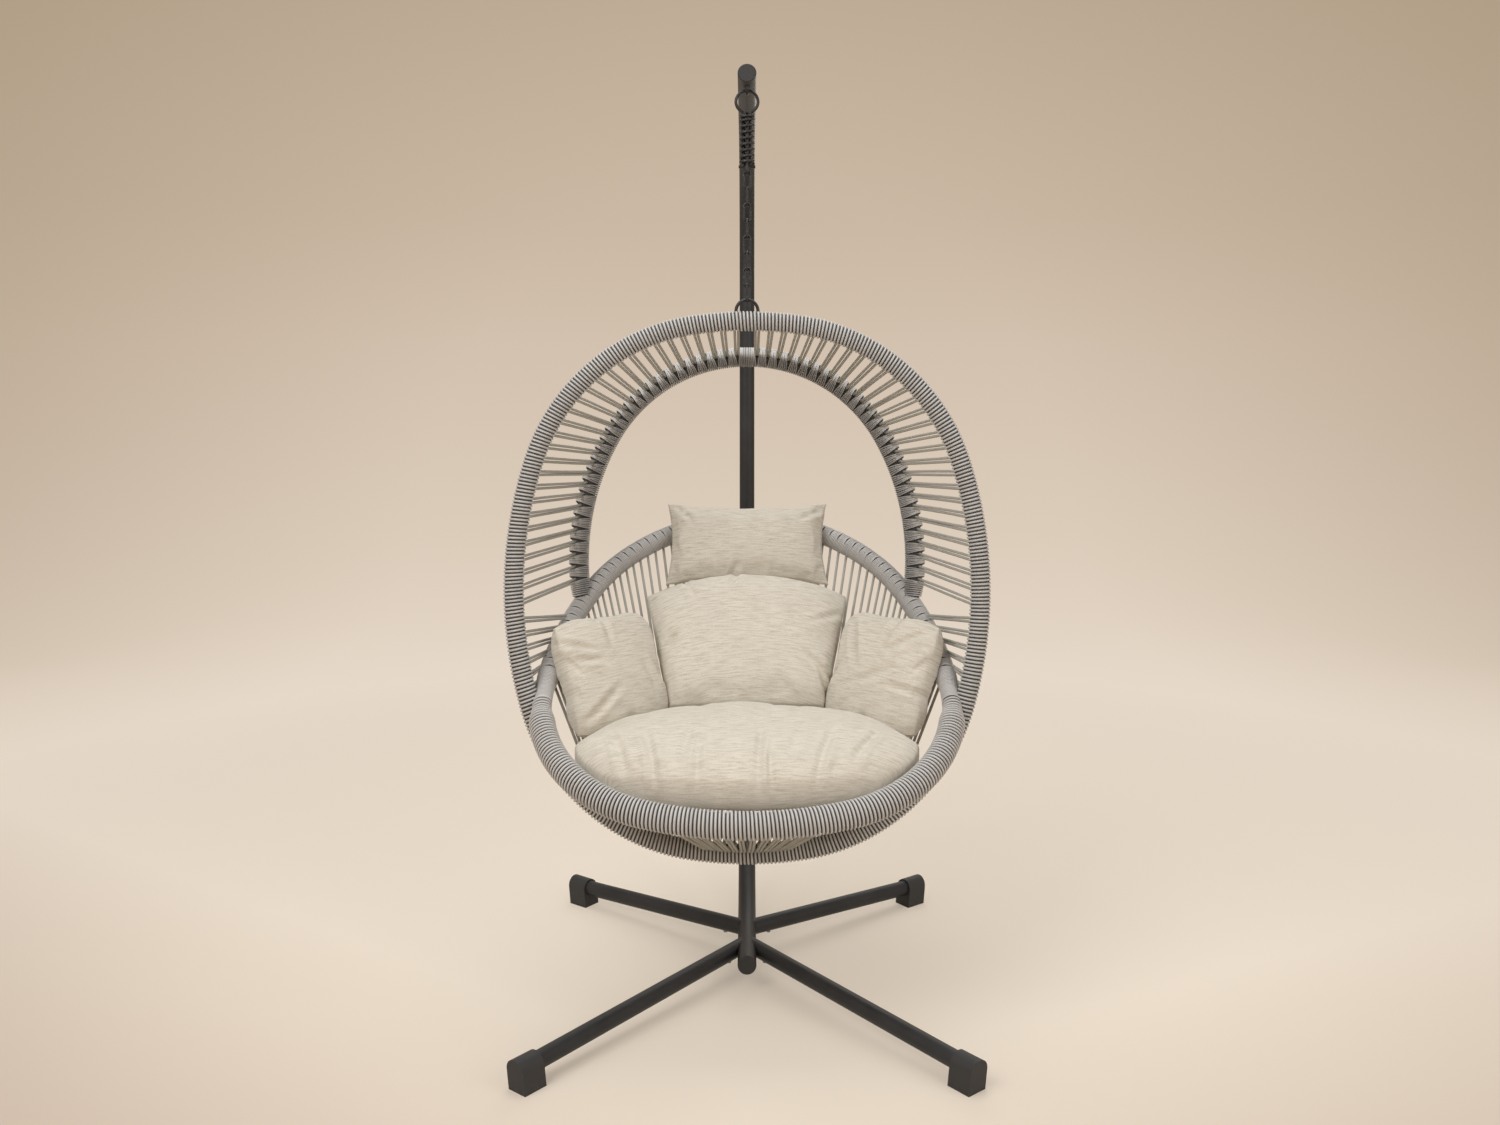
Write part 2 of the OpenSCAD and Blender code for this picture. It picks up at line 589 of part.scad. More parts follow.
// An arched block over the leg's end, its two end faces leaning outward at the top
module foot(p, q) {
    difference() {
        translate([q.x, q.y, 0]) rotate(atan2(q.y - p.y, q.x - p.x)) intersection() {
            rotate([90, 0, 90]) translate([0, 0, -foot_length]) linear_extrude(2 * foot_length) {
                translate([-foot_arch_r, 0]) square([foot_width, foot_axis_z]);
                translate([0, foot_axis_z]) circle(foot_arch_r, $fn = foot_fn);
            }
            rotate([90, 0, 0]) translate([0, 0, -foot_width]) linear_extrude(2 * foot_width)
                polygon([[-foot_length / 2 - foot_shift, 0], [foot_length / 2 - foot_shift, 0],
                         [foot_length / 2 + foot_shift, foot_height],
                         [-foot_length / 2 + foot_shift, foot_height]]);
        }
        along(p, q) translate([0, 0, leg_length(p, q) + play - 2 * foot_length])
            cylinder(h = 2 * foot_length, r = leg_r + play, $fn = tube_fn);
    }
}
module leg_front_left() { color("dimgray") at_hang() leg(front_leg, left(front_foot)); }
module leg_front_right() { color("dimgray") at_hang() leg(front_leg, front_foot); }
module leg_rear_left() { color("dimgray") at_hang() leg(rear_leg, left(rear_foot)); }
module leg_rear_right() { color("dimgray") at_hang() leg(rear_leg, rear_foot); }
module leg_spigots() {
    color("silver") at_hang() both_sides() {
        spigot(front_leg, front_foot);
        spigot(rear_leg, rear_foot);
    }
}
module leg_bolts() {
    color("silver") at_hang() both_sides() {
        leg_bolt(front_leg, front_foot);
        leg_bolt(rear_leg, rear_foot);
    }
}
module foot_front_left() { color("black") at_hang() foot(front_leg, left(front_foot)); }
module foot_front_right() { color("black") at_hang() foot(front_leg, front_foot); }
module foot_rear_left() { color("black") at_hang() foot(rear_leg, left(rear_foot)); }
module foot_rear_right() { color("black") at_hang() foot(rear_leg, rear_foot); }

// ---- Hanging gear ----
// The arm's eye: a wire staple under the arm, in the plane of the bow
module arm_eye() {
    eye_path = [
        [-eye_bend_r, arm_end_z, -eye_bend_r, arm_under_z],
        [0, arm_under_z, eye_bend_r, 180, 360],
        [eye_bend_r, arm_under_z, eye_bend_r, arm_end_z]];
    color("dimgray") at_hang() difference() {
        side_plane() bar(eye_path, eye_wire / 2, 0, wire_lap, wire_fn);
        side_plane() bar(upper_bow_path, bow_r + leg_play);
    }
}
// Half of the upper drawbar, from the top of its round eye to the tip of its hook
neck_angle = atan2(neck_z - bar_eye_z, bar_leg_x + neck_r);
upper_bar_half = [
    [0, bar_eye_z, bar_eye_r, 90, neck_angle],
    [bar_leg_x + neck_r, neck_z, neck_r, 180 + neck_angle, 180],
    [bar_leg_x, neck_z, bar_leg_x, low_hook_z + hook_bend_r],
    [bar_leg_x + hook_bend_r, low_hook_z + hook_bend_r, hook_bend_r, 180, 270],
    [bar_leg_x + hook_bend_r, low_hook_z, hook_reach, low_hook_z]];
module upper_drawbar() {
    color("gray") at_hang() front_plane() bar(arch(upper_bar_half), bar_r, 0, wire_lap, wire_fn);
}
lower_bar_half = [
    [0, chain_eye_z + bar_leg_x, bar_leg_x, -90, 0],
    [bar_leg_x, chain_eye_z + bar_leg_x, bar_leg_x, high_hook_z - hook_bend_r],
    [bar_leg_x + hook_bend_r, high_hook_z - hook_bend_r, hook_bend_r, 180, 90],
    [bar_leg_x + hook_bend_r, high_hook_z, hook_reach, high_hook_z]];
module lower_drawbar() {
    lower_path = concat(mirror_path([for (i = [1:3]) lower_bar_half[i]]),
                        [[0, chain_eye_z + bar_leg_x, bar_leg_x, 180, 360]],
                        [for (i = [1:3]) lower_bar_half[i]]);
    color("gray") at_hang() side_plane() bar(lower_path, bar_r, 0, wire_lap, wire_fn);
}

// ---- Spring: one wire, its first and last turns closed, its two ends straight ----
coil_r = (spring_d - spring_wire) / 2;
coil_height = spring_length - spring_wire;
// Play between the two turns at each closed end
closed_play = 0.6;
closed_pitch = spring_wire + closed_play;
open_pitch = (coil_height - 2 * closed_pitch) / (spring_turns - 2);
curl_rings = 8;
wire_sides = 6;
function coil_z(t) =
    t < 1 ? closed_pitch * t
    : t > spring_turns - 1 ? coil_height - closed_pitch * (spring_turns - t)
    : closed_pitch + open_pitch * (t - 1);
function coil_point(t) = [coil_r * cos(360 * t), coil_r * sin(360 * t), coil_z(t)];
coil_count = spring_turns * curl_rings;
coil_body = [for (i = [0:coil_count]) coil_point(i / curl_rings)];
coil_points = concat(
    [coil_body[0] - [0, spring_wire, 0]],
    coil_body,
    [coil_body[coil_count]
     + spring_wire * [-sin(360 * spring_turns), cos(360 * spring_turns), 0]]);
function coil_dir(i) =
    unit(coil_points[min(i + 1, len(coil_points) - 1)] - coil_points[max(i - 1, 0)]);
function coil_side(i) =
    let (t = min(max(i - 1, 0), coil_count) / curl_rings) [cos(360 * t), sin(360 * t), 0];
function coil_ring(i) =
    let (out = coil_side(i), up = unit(cross(out, coil_dir(i))))
    [for (k = [0:wire_sides - 1])
        coil_points[i]
        + spring_wire / 2 * (cos(360 * k / wire_sides) * out + sin(360 * k / wire_sides) * up)];
// Least gap of the wire to itself, between points more than half a turn apart
coil_gap = min([for (i = [0:len(coil_points) - 2], j = [i + curl_rings / 2 + 1:1:len(coil_points) - 1])
    norm(coil_points[i] - coil_points[j])]) - spring_wire;
echo(spring_least_gap = coil_gap);
module spring() {
    rings = len(coil_points);
    verts = [for (i = [0:rings - 1]) each coil_ring(i)];
    sides = [for (i = [0:rings - 2], k = [0:wire_sides - 1])
        let (n = (k + 1) % wire_sides, a = i * wire_sides, b = a + wire_sides)
        each [[a + k, b + k, b + n], [a + k, b + n, a + n]]];
    start_cap = [for (k = [1:wire_sides - 2]) [0, k, k + 1]];
    base = (rings - 1) * wire_sides;
    end_cap = [for (k = [1:wire_sides - 2]) [base, base + k + 1, base + k]];
    color("slategray") at_hang() translate([0, 0, spring_bottom + spring_wire / 2])
        polyhedron(verts, concat(sides, start_cap, end_cap));
}

// ---- Chain ----
link_bend_r = (link_width - link_wire) / 2;
link_half = link_length / 2 - link_width / 2;
link_path = [
    [0, link_half, link_bend_r, 0, 180],
    [-link_bend_r, link_half, -link_bend_r, -link_half],
    [0, -link_half, link_bend_r, 180, 360],
    [link_bend_r, -link_half, link_bend_r, link_half]];
module face_link(i) {
    color("gray") at_hang() translate([0, 0, link_z(i)]) front_plane()
        closed_bar(link_path, link_r, wire_lap, wire_fn);
}
module edge_link(i) {
    color("dimgray") at_hang() translate([0, 0, link_z(i)]) side_plane()
        closed_bar(link_path, link_r, wire_lap, wire_fn);
}
module chain_link_1() { face_link(0); }
module chain_link_2() { edge_link(1); }
module chain_link_3() { face_link(2); }
module chain_link_4() { edge_link(3); }
module chain_link_5() { face_link(4); }
module chain_link_6() { edge_link(5); }
module chain_link_7() { face_link(6); }
module chain_link_8() { edge_link(7); }
// The basket's loop: a wire bow over the hoop's top
module hanging_loop() {
    loop_path = [
        [-loop_bend_r, hoop_top_z - frame_d / 2, -loop_bend_r, loop_z],
        [0, loop_z, loop_bend_r, 180, 0],
        [loop_bend_r, loop_z, loop_bend_r, hoop_top_z - frame_d / 2]];
    color("dimgray") difference() {
        at_hang() front_plane() bar(loop_path, eye_wire / 2, 0, wire_lap, wire_fn);
        outer_plane() bar(arch(outer_quarter), frame_d / 2 + leg_play);
    }
}

// ---- Basket frame ----
outer_loop = oval(outer_quarter, flipped(outer_quarter));
ring_loop = oval(ring_back_quarter, ring_front_quarter);
tube_r = frame_d / 2;
bore_r = tube_r - frame_wall;
sleeve_bore_r = tube_r + play;
// Holes and notches in a wrap, where another tube of the frame meets its own
notch_r = tube_r + 1.5;
notch_reach = 80;
loop_hole_reach = 40;
module outer_hoop() {
    color("dimgray") outer_plane() difference() {
        closed_bar(outer_loop, tube_r);
        closed_bar(outer_loop, bore_r);
    }
}
module seat_ring() {
    color("dimgray") ring_plane() difference() {
        closed_bar(ring_loop, tube_r);
        closed_bar(ring_loop, bore_r);
    }
}
module inner_hoop() {
    cope_reach = 60;
    color("dimgray") difference() {
        inner_plane() bar(arch(inner_path), tube_r);
        inner_plane() bar(arch(inner_path), bore_r, 1);
        both_sides() at_hang()
            rod(inner_end - cope_reach * ring_at_foot_dir, inner_end + cope_reach * ring_at_foot_dir,
                tube_r + 2 * leg_play);
    }
}
module outer_hoop_wrap() {
    color("lightgray") difference() {
        outer_plane() closed_bar(outer_loop, outer_wrap_r, step = wrap_swell);
        outer_plane() closed_bar(outer_loop, sleeve_bore_r, step = wrap_swell);
        ring_plane() both_sides()
            bar([ring_back_quarter[2], ring_front_quarter[0]], notch_r);
        at_hang() both_sides()
            rod([loop_bend_r, 0, hoop_top_z], [loop_bend_r, 0, loop_z + loop_hole_reach],
                eye_wire / 2 + play);
    }
}
module inner_hoop_wrap() {
    wrap_path = arch(cut_path(inner_path, 0, inner_wrap_length));
    color("lightgray") inner_plane() difference() {
        bar(wrap_path, back_wrap_r, step = wrap_swell);
        bar(wrap_path, sleeve_bore_r, 1, step = wrap_swell);
    }
}
module ring_back_wrap() {
    wrap_path = arch(cut_path(ring_back_quarter, 0, ring_back_length - ring_back_off));
    color("silver") difference() {
        ring_plane() bar(wrap_path, back_wrap_r, step = wrap_swell);
        ring_plane() bar(wrap_path, sleeve_bore_r, 1, step = wrap_swell);
        at_hang() both_sides() rod(inner_end, inner_end - notch_reach * inner_dir, notch_r);
    }
}
module ring_front_wrap() {
    half = cut_path(ring_front_quarter, ring_front_off, ring_front_length);
    n = len(half);
    wrap_path = concat([for (i = [0:n - 2]) half[i]],
        [[half[n - 1][0], half[n - 1][1], half[n - 1][2], half[n - 1][3], -180 - half[n - 1][3]]],
        mirror_path([for (i = [0:n - 2]) half[i]]));
    color("silver") ring_plane() difference() {
        bar(wrap_path, front_wrap_r, step = wrap_swell);
        bar(wrap_path, sleeve_bore_r, 1, step = wrap_swell);
    }
}

// ---- Strands ----
module hood_half() {
    at_hang() for (k = [0:hood_pairs - 1], e = [-pair_pitch / 2, pair_pitch / 2]) {
        so = hood_outer_s(k) + e;
        si = hood_inner_s(k) + e;
        strand(outer_at(so), inner_at(si), outer_dir(so), inner_dir_at(si), outer_wrap_r, back_wrap_r);
    }
    at_hang() for (k = [0:side_pairs - 1], e = [-pair_pitch / 2, pair_pitch / 2]) {
        so = hood_outer_s(hood_pairs + k) + e;
        si = side_ring_s(k) + e;
        strand(outer_at(so), ring_back_at(si), outer_dir(so), ring_back_dir(si), outer_wrap_r, back_wrap_r);
    }
}
module hood_strands_right() { color("tan") hood_half(); }
module hood_strands_left() { color("tan") mirror([1, 0, 0]) hood_half(); }
module web_strands() {
    color("tan") at_hang() both_sides() for (i = [0:web_count - 1]) {
        sr = web_ring_s(i);
        so = web_outer_s(i);
        strand(ring_back_at(sr), outer_at(so), ring_back_dir(sr), outer_dir(so),
               back_wrap_r, outer_wrap_r + web_gap);
    }
}
module front_strands() {
    color("tan") at_hang() both_sides()
        for (k = [0:front_pairs / 2 - 1], e = [-pair_pitch / 2, pair_pitch / 2]) {
            sr = ring_front_length - (k + 0.5) * front_ring_pitch + e;
            so = outer_length - (k + 0.5) * front_outer_pitch + e * front_closing;
            strand(ring_front_at(sr), outer_at(so), ring_front_dir(sr), outer_dir(so),
                   front_wrap_r, outer_wrap_r);
        }
}

// ---- Cushions ----
// Cells along each side of a pillow
pillow_cells = 12;
oval_round = 0.85;
soft_round = 0.15;
pointed_round = -0.3;
puff = 0.4;
head_puff = 0.45;
back_flare = 0.14;
// How far the seat cushion laps over the ring's wrap and stands above its middle, and its tilt
seat_over = 4;
seat_lift = 2.5;
seat_tilt = 6;
// Middles of the back and head cushions below the web's top, their height over it and their tilt
back_below = 346;
back_lift = 1;
back_tilt = 3;
head_below = 98;
head_lift = 6;
head_tilt = 14;
// Place of an arm cushion: from the weld along the ring, down the web, and off it; then its two turns
arm_from_weld = 266;
arm_down = 0.352;
arm_lift = 17.45;
arm_turn = 40;
arm_tilt = 65;
// A pillow about its own middle: w and d over its sides, t thick, lying in the plane z = 0.
// round 1 makes the outline an ellipse, 0 a rectangle, and less than 0 draws the sides in.
// flare widens it towards +y.
module pillow(w, d, t, round, puff, flare = 0) {
    n = pillow_cells;
    shrink = round < 0 ? sqrt(1 - round / 2) : 1;
    function at(i) = sin(90 * (2 * i / n - 1));
    function plan(p, q) = [w / 2 / shrink * p * sqrt(1 - round * q * q / 2) * (1 + flare * q),
                           d / 2 / shrink * q * sqrt(1 - round * p * p / 2)];
    function rise(p, q) = t / 2 * pow((1 - p * p) * (1 - q * q), puff);
    top = [for (i = [0:n], j = [0:n])
        let (p = at(n - i), q = at(j), c = plan(p, q)) [c.x, c.y, rise(p, q)]];
    under = [for (i = [1:n - 1], j = [1:n - 1])
        let (p = at(n - i), q = at(j), c = plan(p, q)) [c.x, c.y, -rise(p, q)]];
    function up(i, j) = i * (n + 1) + j;
    function low(i, j) = i == 0 || j == 0 || i == n || j == n ? up(i, j)
        : (n + 1) * (n + 1) + (i - 1) * (n - 1) + j - 1;
    // Two triangles of a cell's corners a to d, split along the line towards the outline's corner
    function cell(i, j, a, b, c, d) =
        (2 * i < n) == (2 * j < n) ? [[a, b, c], [a, c, d]] : [[a, b, d], [b, c, d]];
    polyhedron(concat(top, under), concat(
        [for (i = [0:n - 1], j = [0:n - 1])
            each cell(i, j, low(i, j), low(i, j + 1), low(i + 1, j + 1), low(i + 1, j))],
        [for (i = [0:n - 1], j = [0:n - 1])
            each cell(i, j, up(i, j), up(i + 1, j), up(i + 1, j + 1), up(i, j + 1))]));
}
hoop_foot = outer_at(outer_length);
ring_front = ring_front_at(ring_front_length);
web_top = ring_back_at(0);
web_dir = unit(web_top - hoop_foot);
web_slope = atan2(web_dir.z, web_dir.y);
// A point above the web's middle line, a below its top and h over it
function on_web(a, h) = web_top - a * web_dir + h * [0, -web_dir.z, web_dir.y];
module seat_cushion() {
    color("ivory") at_hang()
        translate([0, ring_front.y + front_wrap_r + seat_d / 2 - seat_over,
                   ring_front.z + seat_t / 2 + seat_lift])
            rotate([seat_tilt, 0, 0]) pillow(seat_w, seat_d, seat_t, oval_round, puff);
}
module back_cushion() {
    color("ivory") at_hang() translate(on_web(back_below, back_t / 2 + strand_r + back_lift))
        rotate([web_slope + back_tilt, 0, 0])
            pillow(back_w, back_h, back_t, soft_round, puff, back_flare);
}
module head_cushion() {
    color("ivory") at_hang() translate(on_web(head_below, head_t / 2 + strand_r + head_lift))
        rotate([web_slope + head_tilt, 0, 0])
            pillow(head_w, head_h, head_t, pointed_round, head_puff);
}
// The arm cushions lean on the web's sides
arm_ring_s = ring_back_length - arm_from_weld;
arm_web_i = arm_ring_s / web_pitch - 0.5;
arm_web_top = ring_back_at(arm_ring_s);
arm_web_foot = outer_at(web_outer_s(arm_web_i));
arm_in = -unit(cross(ring_back_dir(arm_ring_s), arm_web_foot - arm_web_top));
module arm_cushion() {
    at_hang() translate(arm_web_top + arm_down * (arm_web_foot - arm_web_top)
                        + (arm_t / 2 + arm_lift) * arm_in)
        rotate([0, 0, -arm_turn]) rotate([arm_tilt, 0, 0]) pillow(arm_w, arm_h, arm_t, soft_round, puff);
}
module arm_cushion_right() { color("ivory") arm_cushion(); }
module arm_cushion_left() { color("ivory") mirror([1, 0, 0]) arm_cushion(); }

lower_bow();
upper_bow();
bow_sleeve();
bow_bolts();
base_cap();
arm_cap();
leg_front_left();
leg_front_right();
leg_rear_left();
leg_rear_right();
leg_spigots();
leg_bolts();
foot_front_left();
foot_front_right();
foot_rear_left();
foot_rear_right();
arm_eye();
upper_drawbar();
spring();
lower_drawbar();
chain_link_1();
chain_link_2();
chain_link_3();
chain_link_4();
chain_link_5();
chain_link_6();
chain_link_7();
chain_link_8();
hanging_loop();
outer_hoop();
inner_hoop();
seat_ring();
outer_hoop_wrap();
inner_hoop_wrap();
ring_back_wrap();
ring_front_wrap();
hood_strands_left();
hood_strands_right();
web_strands();
front_strands();
seat_cushion();
back_cushion();
head_cushion();
arm_cushion_left();
arm_cushion_right();
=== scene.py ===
"""Looks of a hanging egg chair: coated stand, spring and chain, laced rope basket, linen cushions."""

import logging  # noqa: E402
import math  # noqa: E402
from dataclasses import dataclass, field  # noqa: E402
from enum import Enum  # noqa: E402
from typing import Any, Optional, Sequence, Union  # noqa: E402

import bpy  # noqa: E402
import numpy as np  # noqa: E402
from mathutils import Matrix, Vector, noise  # noqa: E402


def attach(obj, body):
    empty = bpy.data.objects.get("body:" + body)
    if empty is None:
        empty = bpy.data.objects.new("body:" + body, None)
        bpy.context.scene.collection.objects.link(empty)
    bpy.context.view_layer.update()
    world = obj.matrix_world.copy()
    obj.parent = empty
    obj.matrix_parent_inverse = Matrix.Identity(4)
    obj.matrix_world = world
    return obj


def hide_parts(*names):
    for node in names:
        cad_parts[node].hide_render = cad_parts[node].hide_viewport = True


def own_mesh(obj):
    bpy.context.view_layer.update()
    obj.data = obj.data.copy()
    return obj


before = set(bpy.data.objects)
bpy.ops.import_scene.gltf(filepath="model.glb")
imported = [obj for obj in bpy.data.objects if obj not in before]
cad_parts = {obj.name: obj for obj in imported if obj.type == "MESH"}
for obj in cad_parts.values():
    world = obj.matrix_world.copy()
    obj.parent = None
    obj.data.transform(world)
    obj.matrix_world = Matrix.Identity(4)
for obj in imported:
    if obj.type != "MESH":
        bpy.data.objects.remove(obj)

LOG = logging.getLogger("egg_chair")
MM = 0.001
TURN = 2 * math.pi
Pair = tuple[float, float]
Triple = tuple[float, float, float]
Colour = Triple
Points = np.ndarray
Piece = bpy.types.Object


def from_screen(*channels: int) -> Colour:
    """Turns a screen colour, 0 to 255 each, into the linear one that a shader takes."""
    shares = [c / 255 for c in channels]
    return tuple(c / 12.92 if c <= 0.04045 else ((c + 0.055) / 1.055) ** 2.4 for c in shares)


def toned(colour: Colour, share: float) -> Colour:
    """A colour made darker or lighter."""
    return tuple(share * c for c in colour)


def unit(v: Points) -> Points:
    """Scales vectors to length one, along the last axis."""
    return v / np.maximum(np.linalg.norm(v, axis=-1, keepdims=True), 1e-12)


def smooth_step(x: Points) -> Points:
    """Eases 0 to 1, flat at both ends."""
    x = np.clip(x, 0.0, 1.0)
    return x * x * (3 - 2 * x)


def turned(x: float = 0.0, z: float = 0.0) -> Matrix:
    """A turn about x, then z, in degrees."""
    return Matrix.Rotation(math.radians(z), 4, "Z") @ Matrix.Rotation(math.radians(x), 4, "X")


# shaders


class Signal:
    """What one shader socket carries; arithmetic on it adds Math nodes."""

    def __init__(self, bench: "Bench", socket: Optional[bpy.types.NodeSocket]) -> None:
        """Keeps the output socket and the bench that it belongs to."""
        self.bench, self.socket = bench, socket

    def _math(self, operation: str, first: Any, second: Any = 0.0) -> "Signal":
        """Adds one Math node and hands back its result."""
        return self.bench.node("ShaderNodeMath", {"operation": operation}, {0: first, 1: second})

    def __add__(self, other: Any) -> "Signal":
        """Sum."""
        return self._math("ADD", self, other)

    def __sub__(self, other: Any) -> "Signal":
        """Difference."""
        return self._math("SUBTRACT", self, other)

    def __mul__(self, other: Any) -> "Signal":
        """Product."""
        return self._math("MULTIPLY", self, other)

    def __pow__(self, other: Any) -> "Signal":
        """Power."""
        return self._math("POWER", self, other)

    __radd__, __rmul__ = __add__, __mul__

    def sine(self) -> "Signal":
        """Sine of this value in radians."""
        return self._math("SINE", self)

    def size(self) -> "Signal":
        """This value without its sign."""
        return self._math("ABSOLUTE", self)

    def at_most(self, other: Any) -> "Signal":
        """The lesser of two."""
        return self._math("MINIMUM", self, other)

    def output(self, name: str) -> "Signal":
        """Another output of the same node."""
        return Signal(self.bench, self.socket.node.outputs[name])


Feed = Union[Signal, float, Sequence[float]]


class Bench:
    """One node tree and the ways to add to it."""

    def __init__(self, tree: bpy.types.NodeTree) -> None:
        """Takes a material's or the world's tree and clears it."""
        self.tree = tree
        tree.nodes.clear()

    def node(
        self,
        kind: str,
        settings: dict[str, Any],
        sockets: dict[Union[int, str], Feed],
        out: Union[int, str] = 0,
    ) -> Signal:
        """Adds a node, sets it up and feeds its sockets.

        Args:
            kind: The node's type.
            settings: Its properties.
            sockets: Values or links, by the input's name or number.
            out: The output that counts.

        Returns:
            That output.
        """
        made = self.tree.nodes.new(kind)
        for name, value in settings.items():
            setattr(made, name, value)
        for name, value in sockets.items():
            socket = made.inputs[name]
            if isinstance(value, Signal):
                self.tree.links.new(value.socket, socket)
            else:
                short = socket.type == "RGBA" and len(value) == 3
                socket.default_value = (*value, 1.0) if short else value
        return Signal(self, made.outputs[out] if len(made.outputs) else None)

    def blend(self, share: Feed, first: Feed, second: Feed) -> Signal:
        """Mixes two colours; the share is how much of the second."""
        return self.node("ShaderNodeMix", {"data_type": "RGBA"}, {0: share, 6: first, 7: second}, 2)

    def grain(self, place: Feed, scale: float, detail: float = 3.0, rough: float = 0.55) -> Signal:
        """Noise near 0.5 over a place, with its octaves and how strong the fine ones are."""
        sockets = {"Vector": place, "Scale": scale, "Detail": detail, "Roughness": rough}
        return self.node("ShaderNodeTexNoise", {}, sockets, "Fac")

    def spread(
        self, value: Feed, low: float, high: float, to_low: float = 0.0, to_high: float = 1.0
    ) -> Signal:
        """Maps the values from low to high onto those from to_low to to_high, clamped."""
        sockets = {0: value, 1: low, 2: high, 3: to_low, 4: to_high}
        return self.node("ShaderNodeMapRange", {"clamp": True}, sockets)

    def bump(self, height: Feed, strength: float, distance: float) -> Signal:
        """Turns a height of about 0 to 1 into a normal; a height of 1 is the distance in metres."""
        sockets = {"Height": height, "Strength": strength, "Distance": distance}
        return self.node("ShaderNodeBump", {}, sockets)

    def own_place(self) -> Signal:
        """The surface's own coordinates, in metres."""
        return self.node("ShaderNodeTexCoord", {}, {}, "Object")

    def laid(self) -> Signal:
        """Coordinates along and across a cord or a cloth, in metres."""
        return self.node("ShaderNodeUVMap", {"uv_map": "laid"}, {}, "UV")

    def stored(self, name: str) -> Signal:
        """A value that the mesh keeps for each point."""
        return self.node("ShaderNodeAttribute", {"attribute_name": name}, {}, "Fac")

    def axes(self, place: Feed) -> Signal:
        """The x of a place; its other outputs are Y and Z."""
        return self.node("ShaderNodeSeparateXYZ", {}, {0: place}, "X")

    def stretched(self, place: Feed, scale: Triple) -> Signal:
        """Coordinates scaled apart along x, y and z."""
        return self.node("ShaderNodeVectorMath", {"operation": "MULTIPLY"}, {0: place, 1: scale})

    def surface(self, **sockets: Feed) -> None:
        """Ends the tree in a Principled shader.

        Args:
            **sockets: Its inputs by name, with _ for a space.
        """
        named = {k.replace("_", " "): v for k, v in sockets.items()}
        self.finish(self.node("ShaderNodeBsdfPrincipled", {}, named))

    def finish(self, shader: Signal) -> None:
        """Ends a material's tree in a shader."""
        self.node("ShaderNodeOutputMaterial", {}, {"Surface": shader})


class Finish:
    """A finish makes its material once and hands it out after that."""

    name: str

    def material(self) -> bpy.types.Material:
        """The finish's material, made at its first use."""
        found = bpy.data.materials.get(self.name)
        if found is None:
            found = bpy.data.materials.new(self.name)
            found.use_nodes = True
            self.paint(Bench(found.node_tree))
            found.diffuse_color = (*getattr(self, "colour", (0.5, 0.5, 0.5)), 1.0)
        return found

    def paint(self, bench: Bench) -> None:
        """Builds the finish's nodes on a bench."""
        raise NotImplementedError

    def put_on(self, *pieces: Piece) -> None:
        """Gives pieces this finish and no other.

        Args:
            *pieces: The objects.
        """
        for piece in pieces:
            piece.data.materials.clear()
            piece.data.materials.append(self.material())


@dataclass(frozen=True)
class PowderCoat(Finish):
    """Fine-textured powder coat on steel, rubbed paler in specks."""

    name: str = "powder_coat"
    colour: Colour = (0.0135, 0.014, 0.0155)
    worn: Colour = (0.032, 0.032, 0.034)
    gloss: float = 0.46
    texture: float = 0.10

    def paint(self, bench: Bench) -> None:
        """Builds orange peel, a slow change of tone and rubbed specks."""
        place = bench.own_place()
        peel = bench.grain(place, 900.0, 2.0)
        cloud = bench.grain(place, 14.0, 4.0)
        speck = bench.spread(bench.grain(place, 210.0, 5.0, 0.7), 0.62, 0.74)
        tone = bench.blend(bench.spread(cloud, 0.35, 0.7, 0.0, 0.55), self.colour, self.worn)
        bench.surface(
            Base_Color=bench.blend(speck * 0.35, tone, toned(self.worn, 2.2)),
            Roughness=self.gloss + 0.14 * cloud + 0.1 * speck,
            Metallic=0.0,
            Specular_IOR_Level=0.4,
            Coat_Weight=0.05,
            Coat_Roughness=0.3,
            Normal=bench.bump(peel, self.texture, 0.0008),
        )


@dataclass(frozen=True)
class MouldedPlastic(Finish):
    """Matt black moulding, with the fine spark-eroded grain of its tool and scuffs."""

    name: str = "moulded_plastic"
    colour: Colour = (0.021, 0.021, 0.0215)
    scuff: Colour = (0.07, 0.068, 0.066)

    def paint(self, bench: Bench) -> None:
        """Builds the grain, pale scuffs low down and a soft sheen."""
        place = bench.own_place()
        sockets = {"Vector": place, "Scale": 1500.0}
        grain = bench.node("ShaderNodeTexVoronoi", {"feature": "F1"}, sockets, "Distance")
        cloud = bench.grain(place, 30.0, 4.0)
        low = bench.spread(bench.axes(place).output("Z"), 0.0, 0.02, 1.0, 0.0)
        rubbed = bench.spread(bench.grain(place, 160.0, 5.0, 0.7), 0.5, 0.72)
        share = (low * rubbed * 0.8 + 0.25 * cloud).at_most(1.0)
        bench.surface(
            Base_Color=bench.blend(share, self.colour, self.scuff),
            Roughness=0.5 + 0.16 * cloud,
            Specular_IOR_Level=0.45,
            Normal=bench.bump(grain, 0.18, 0.0006),
        )


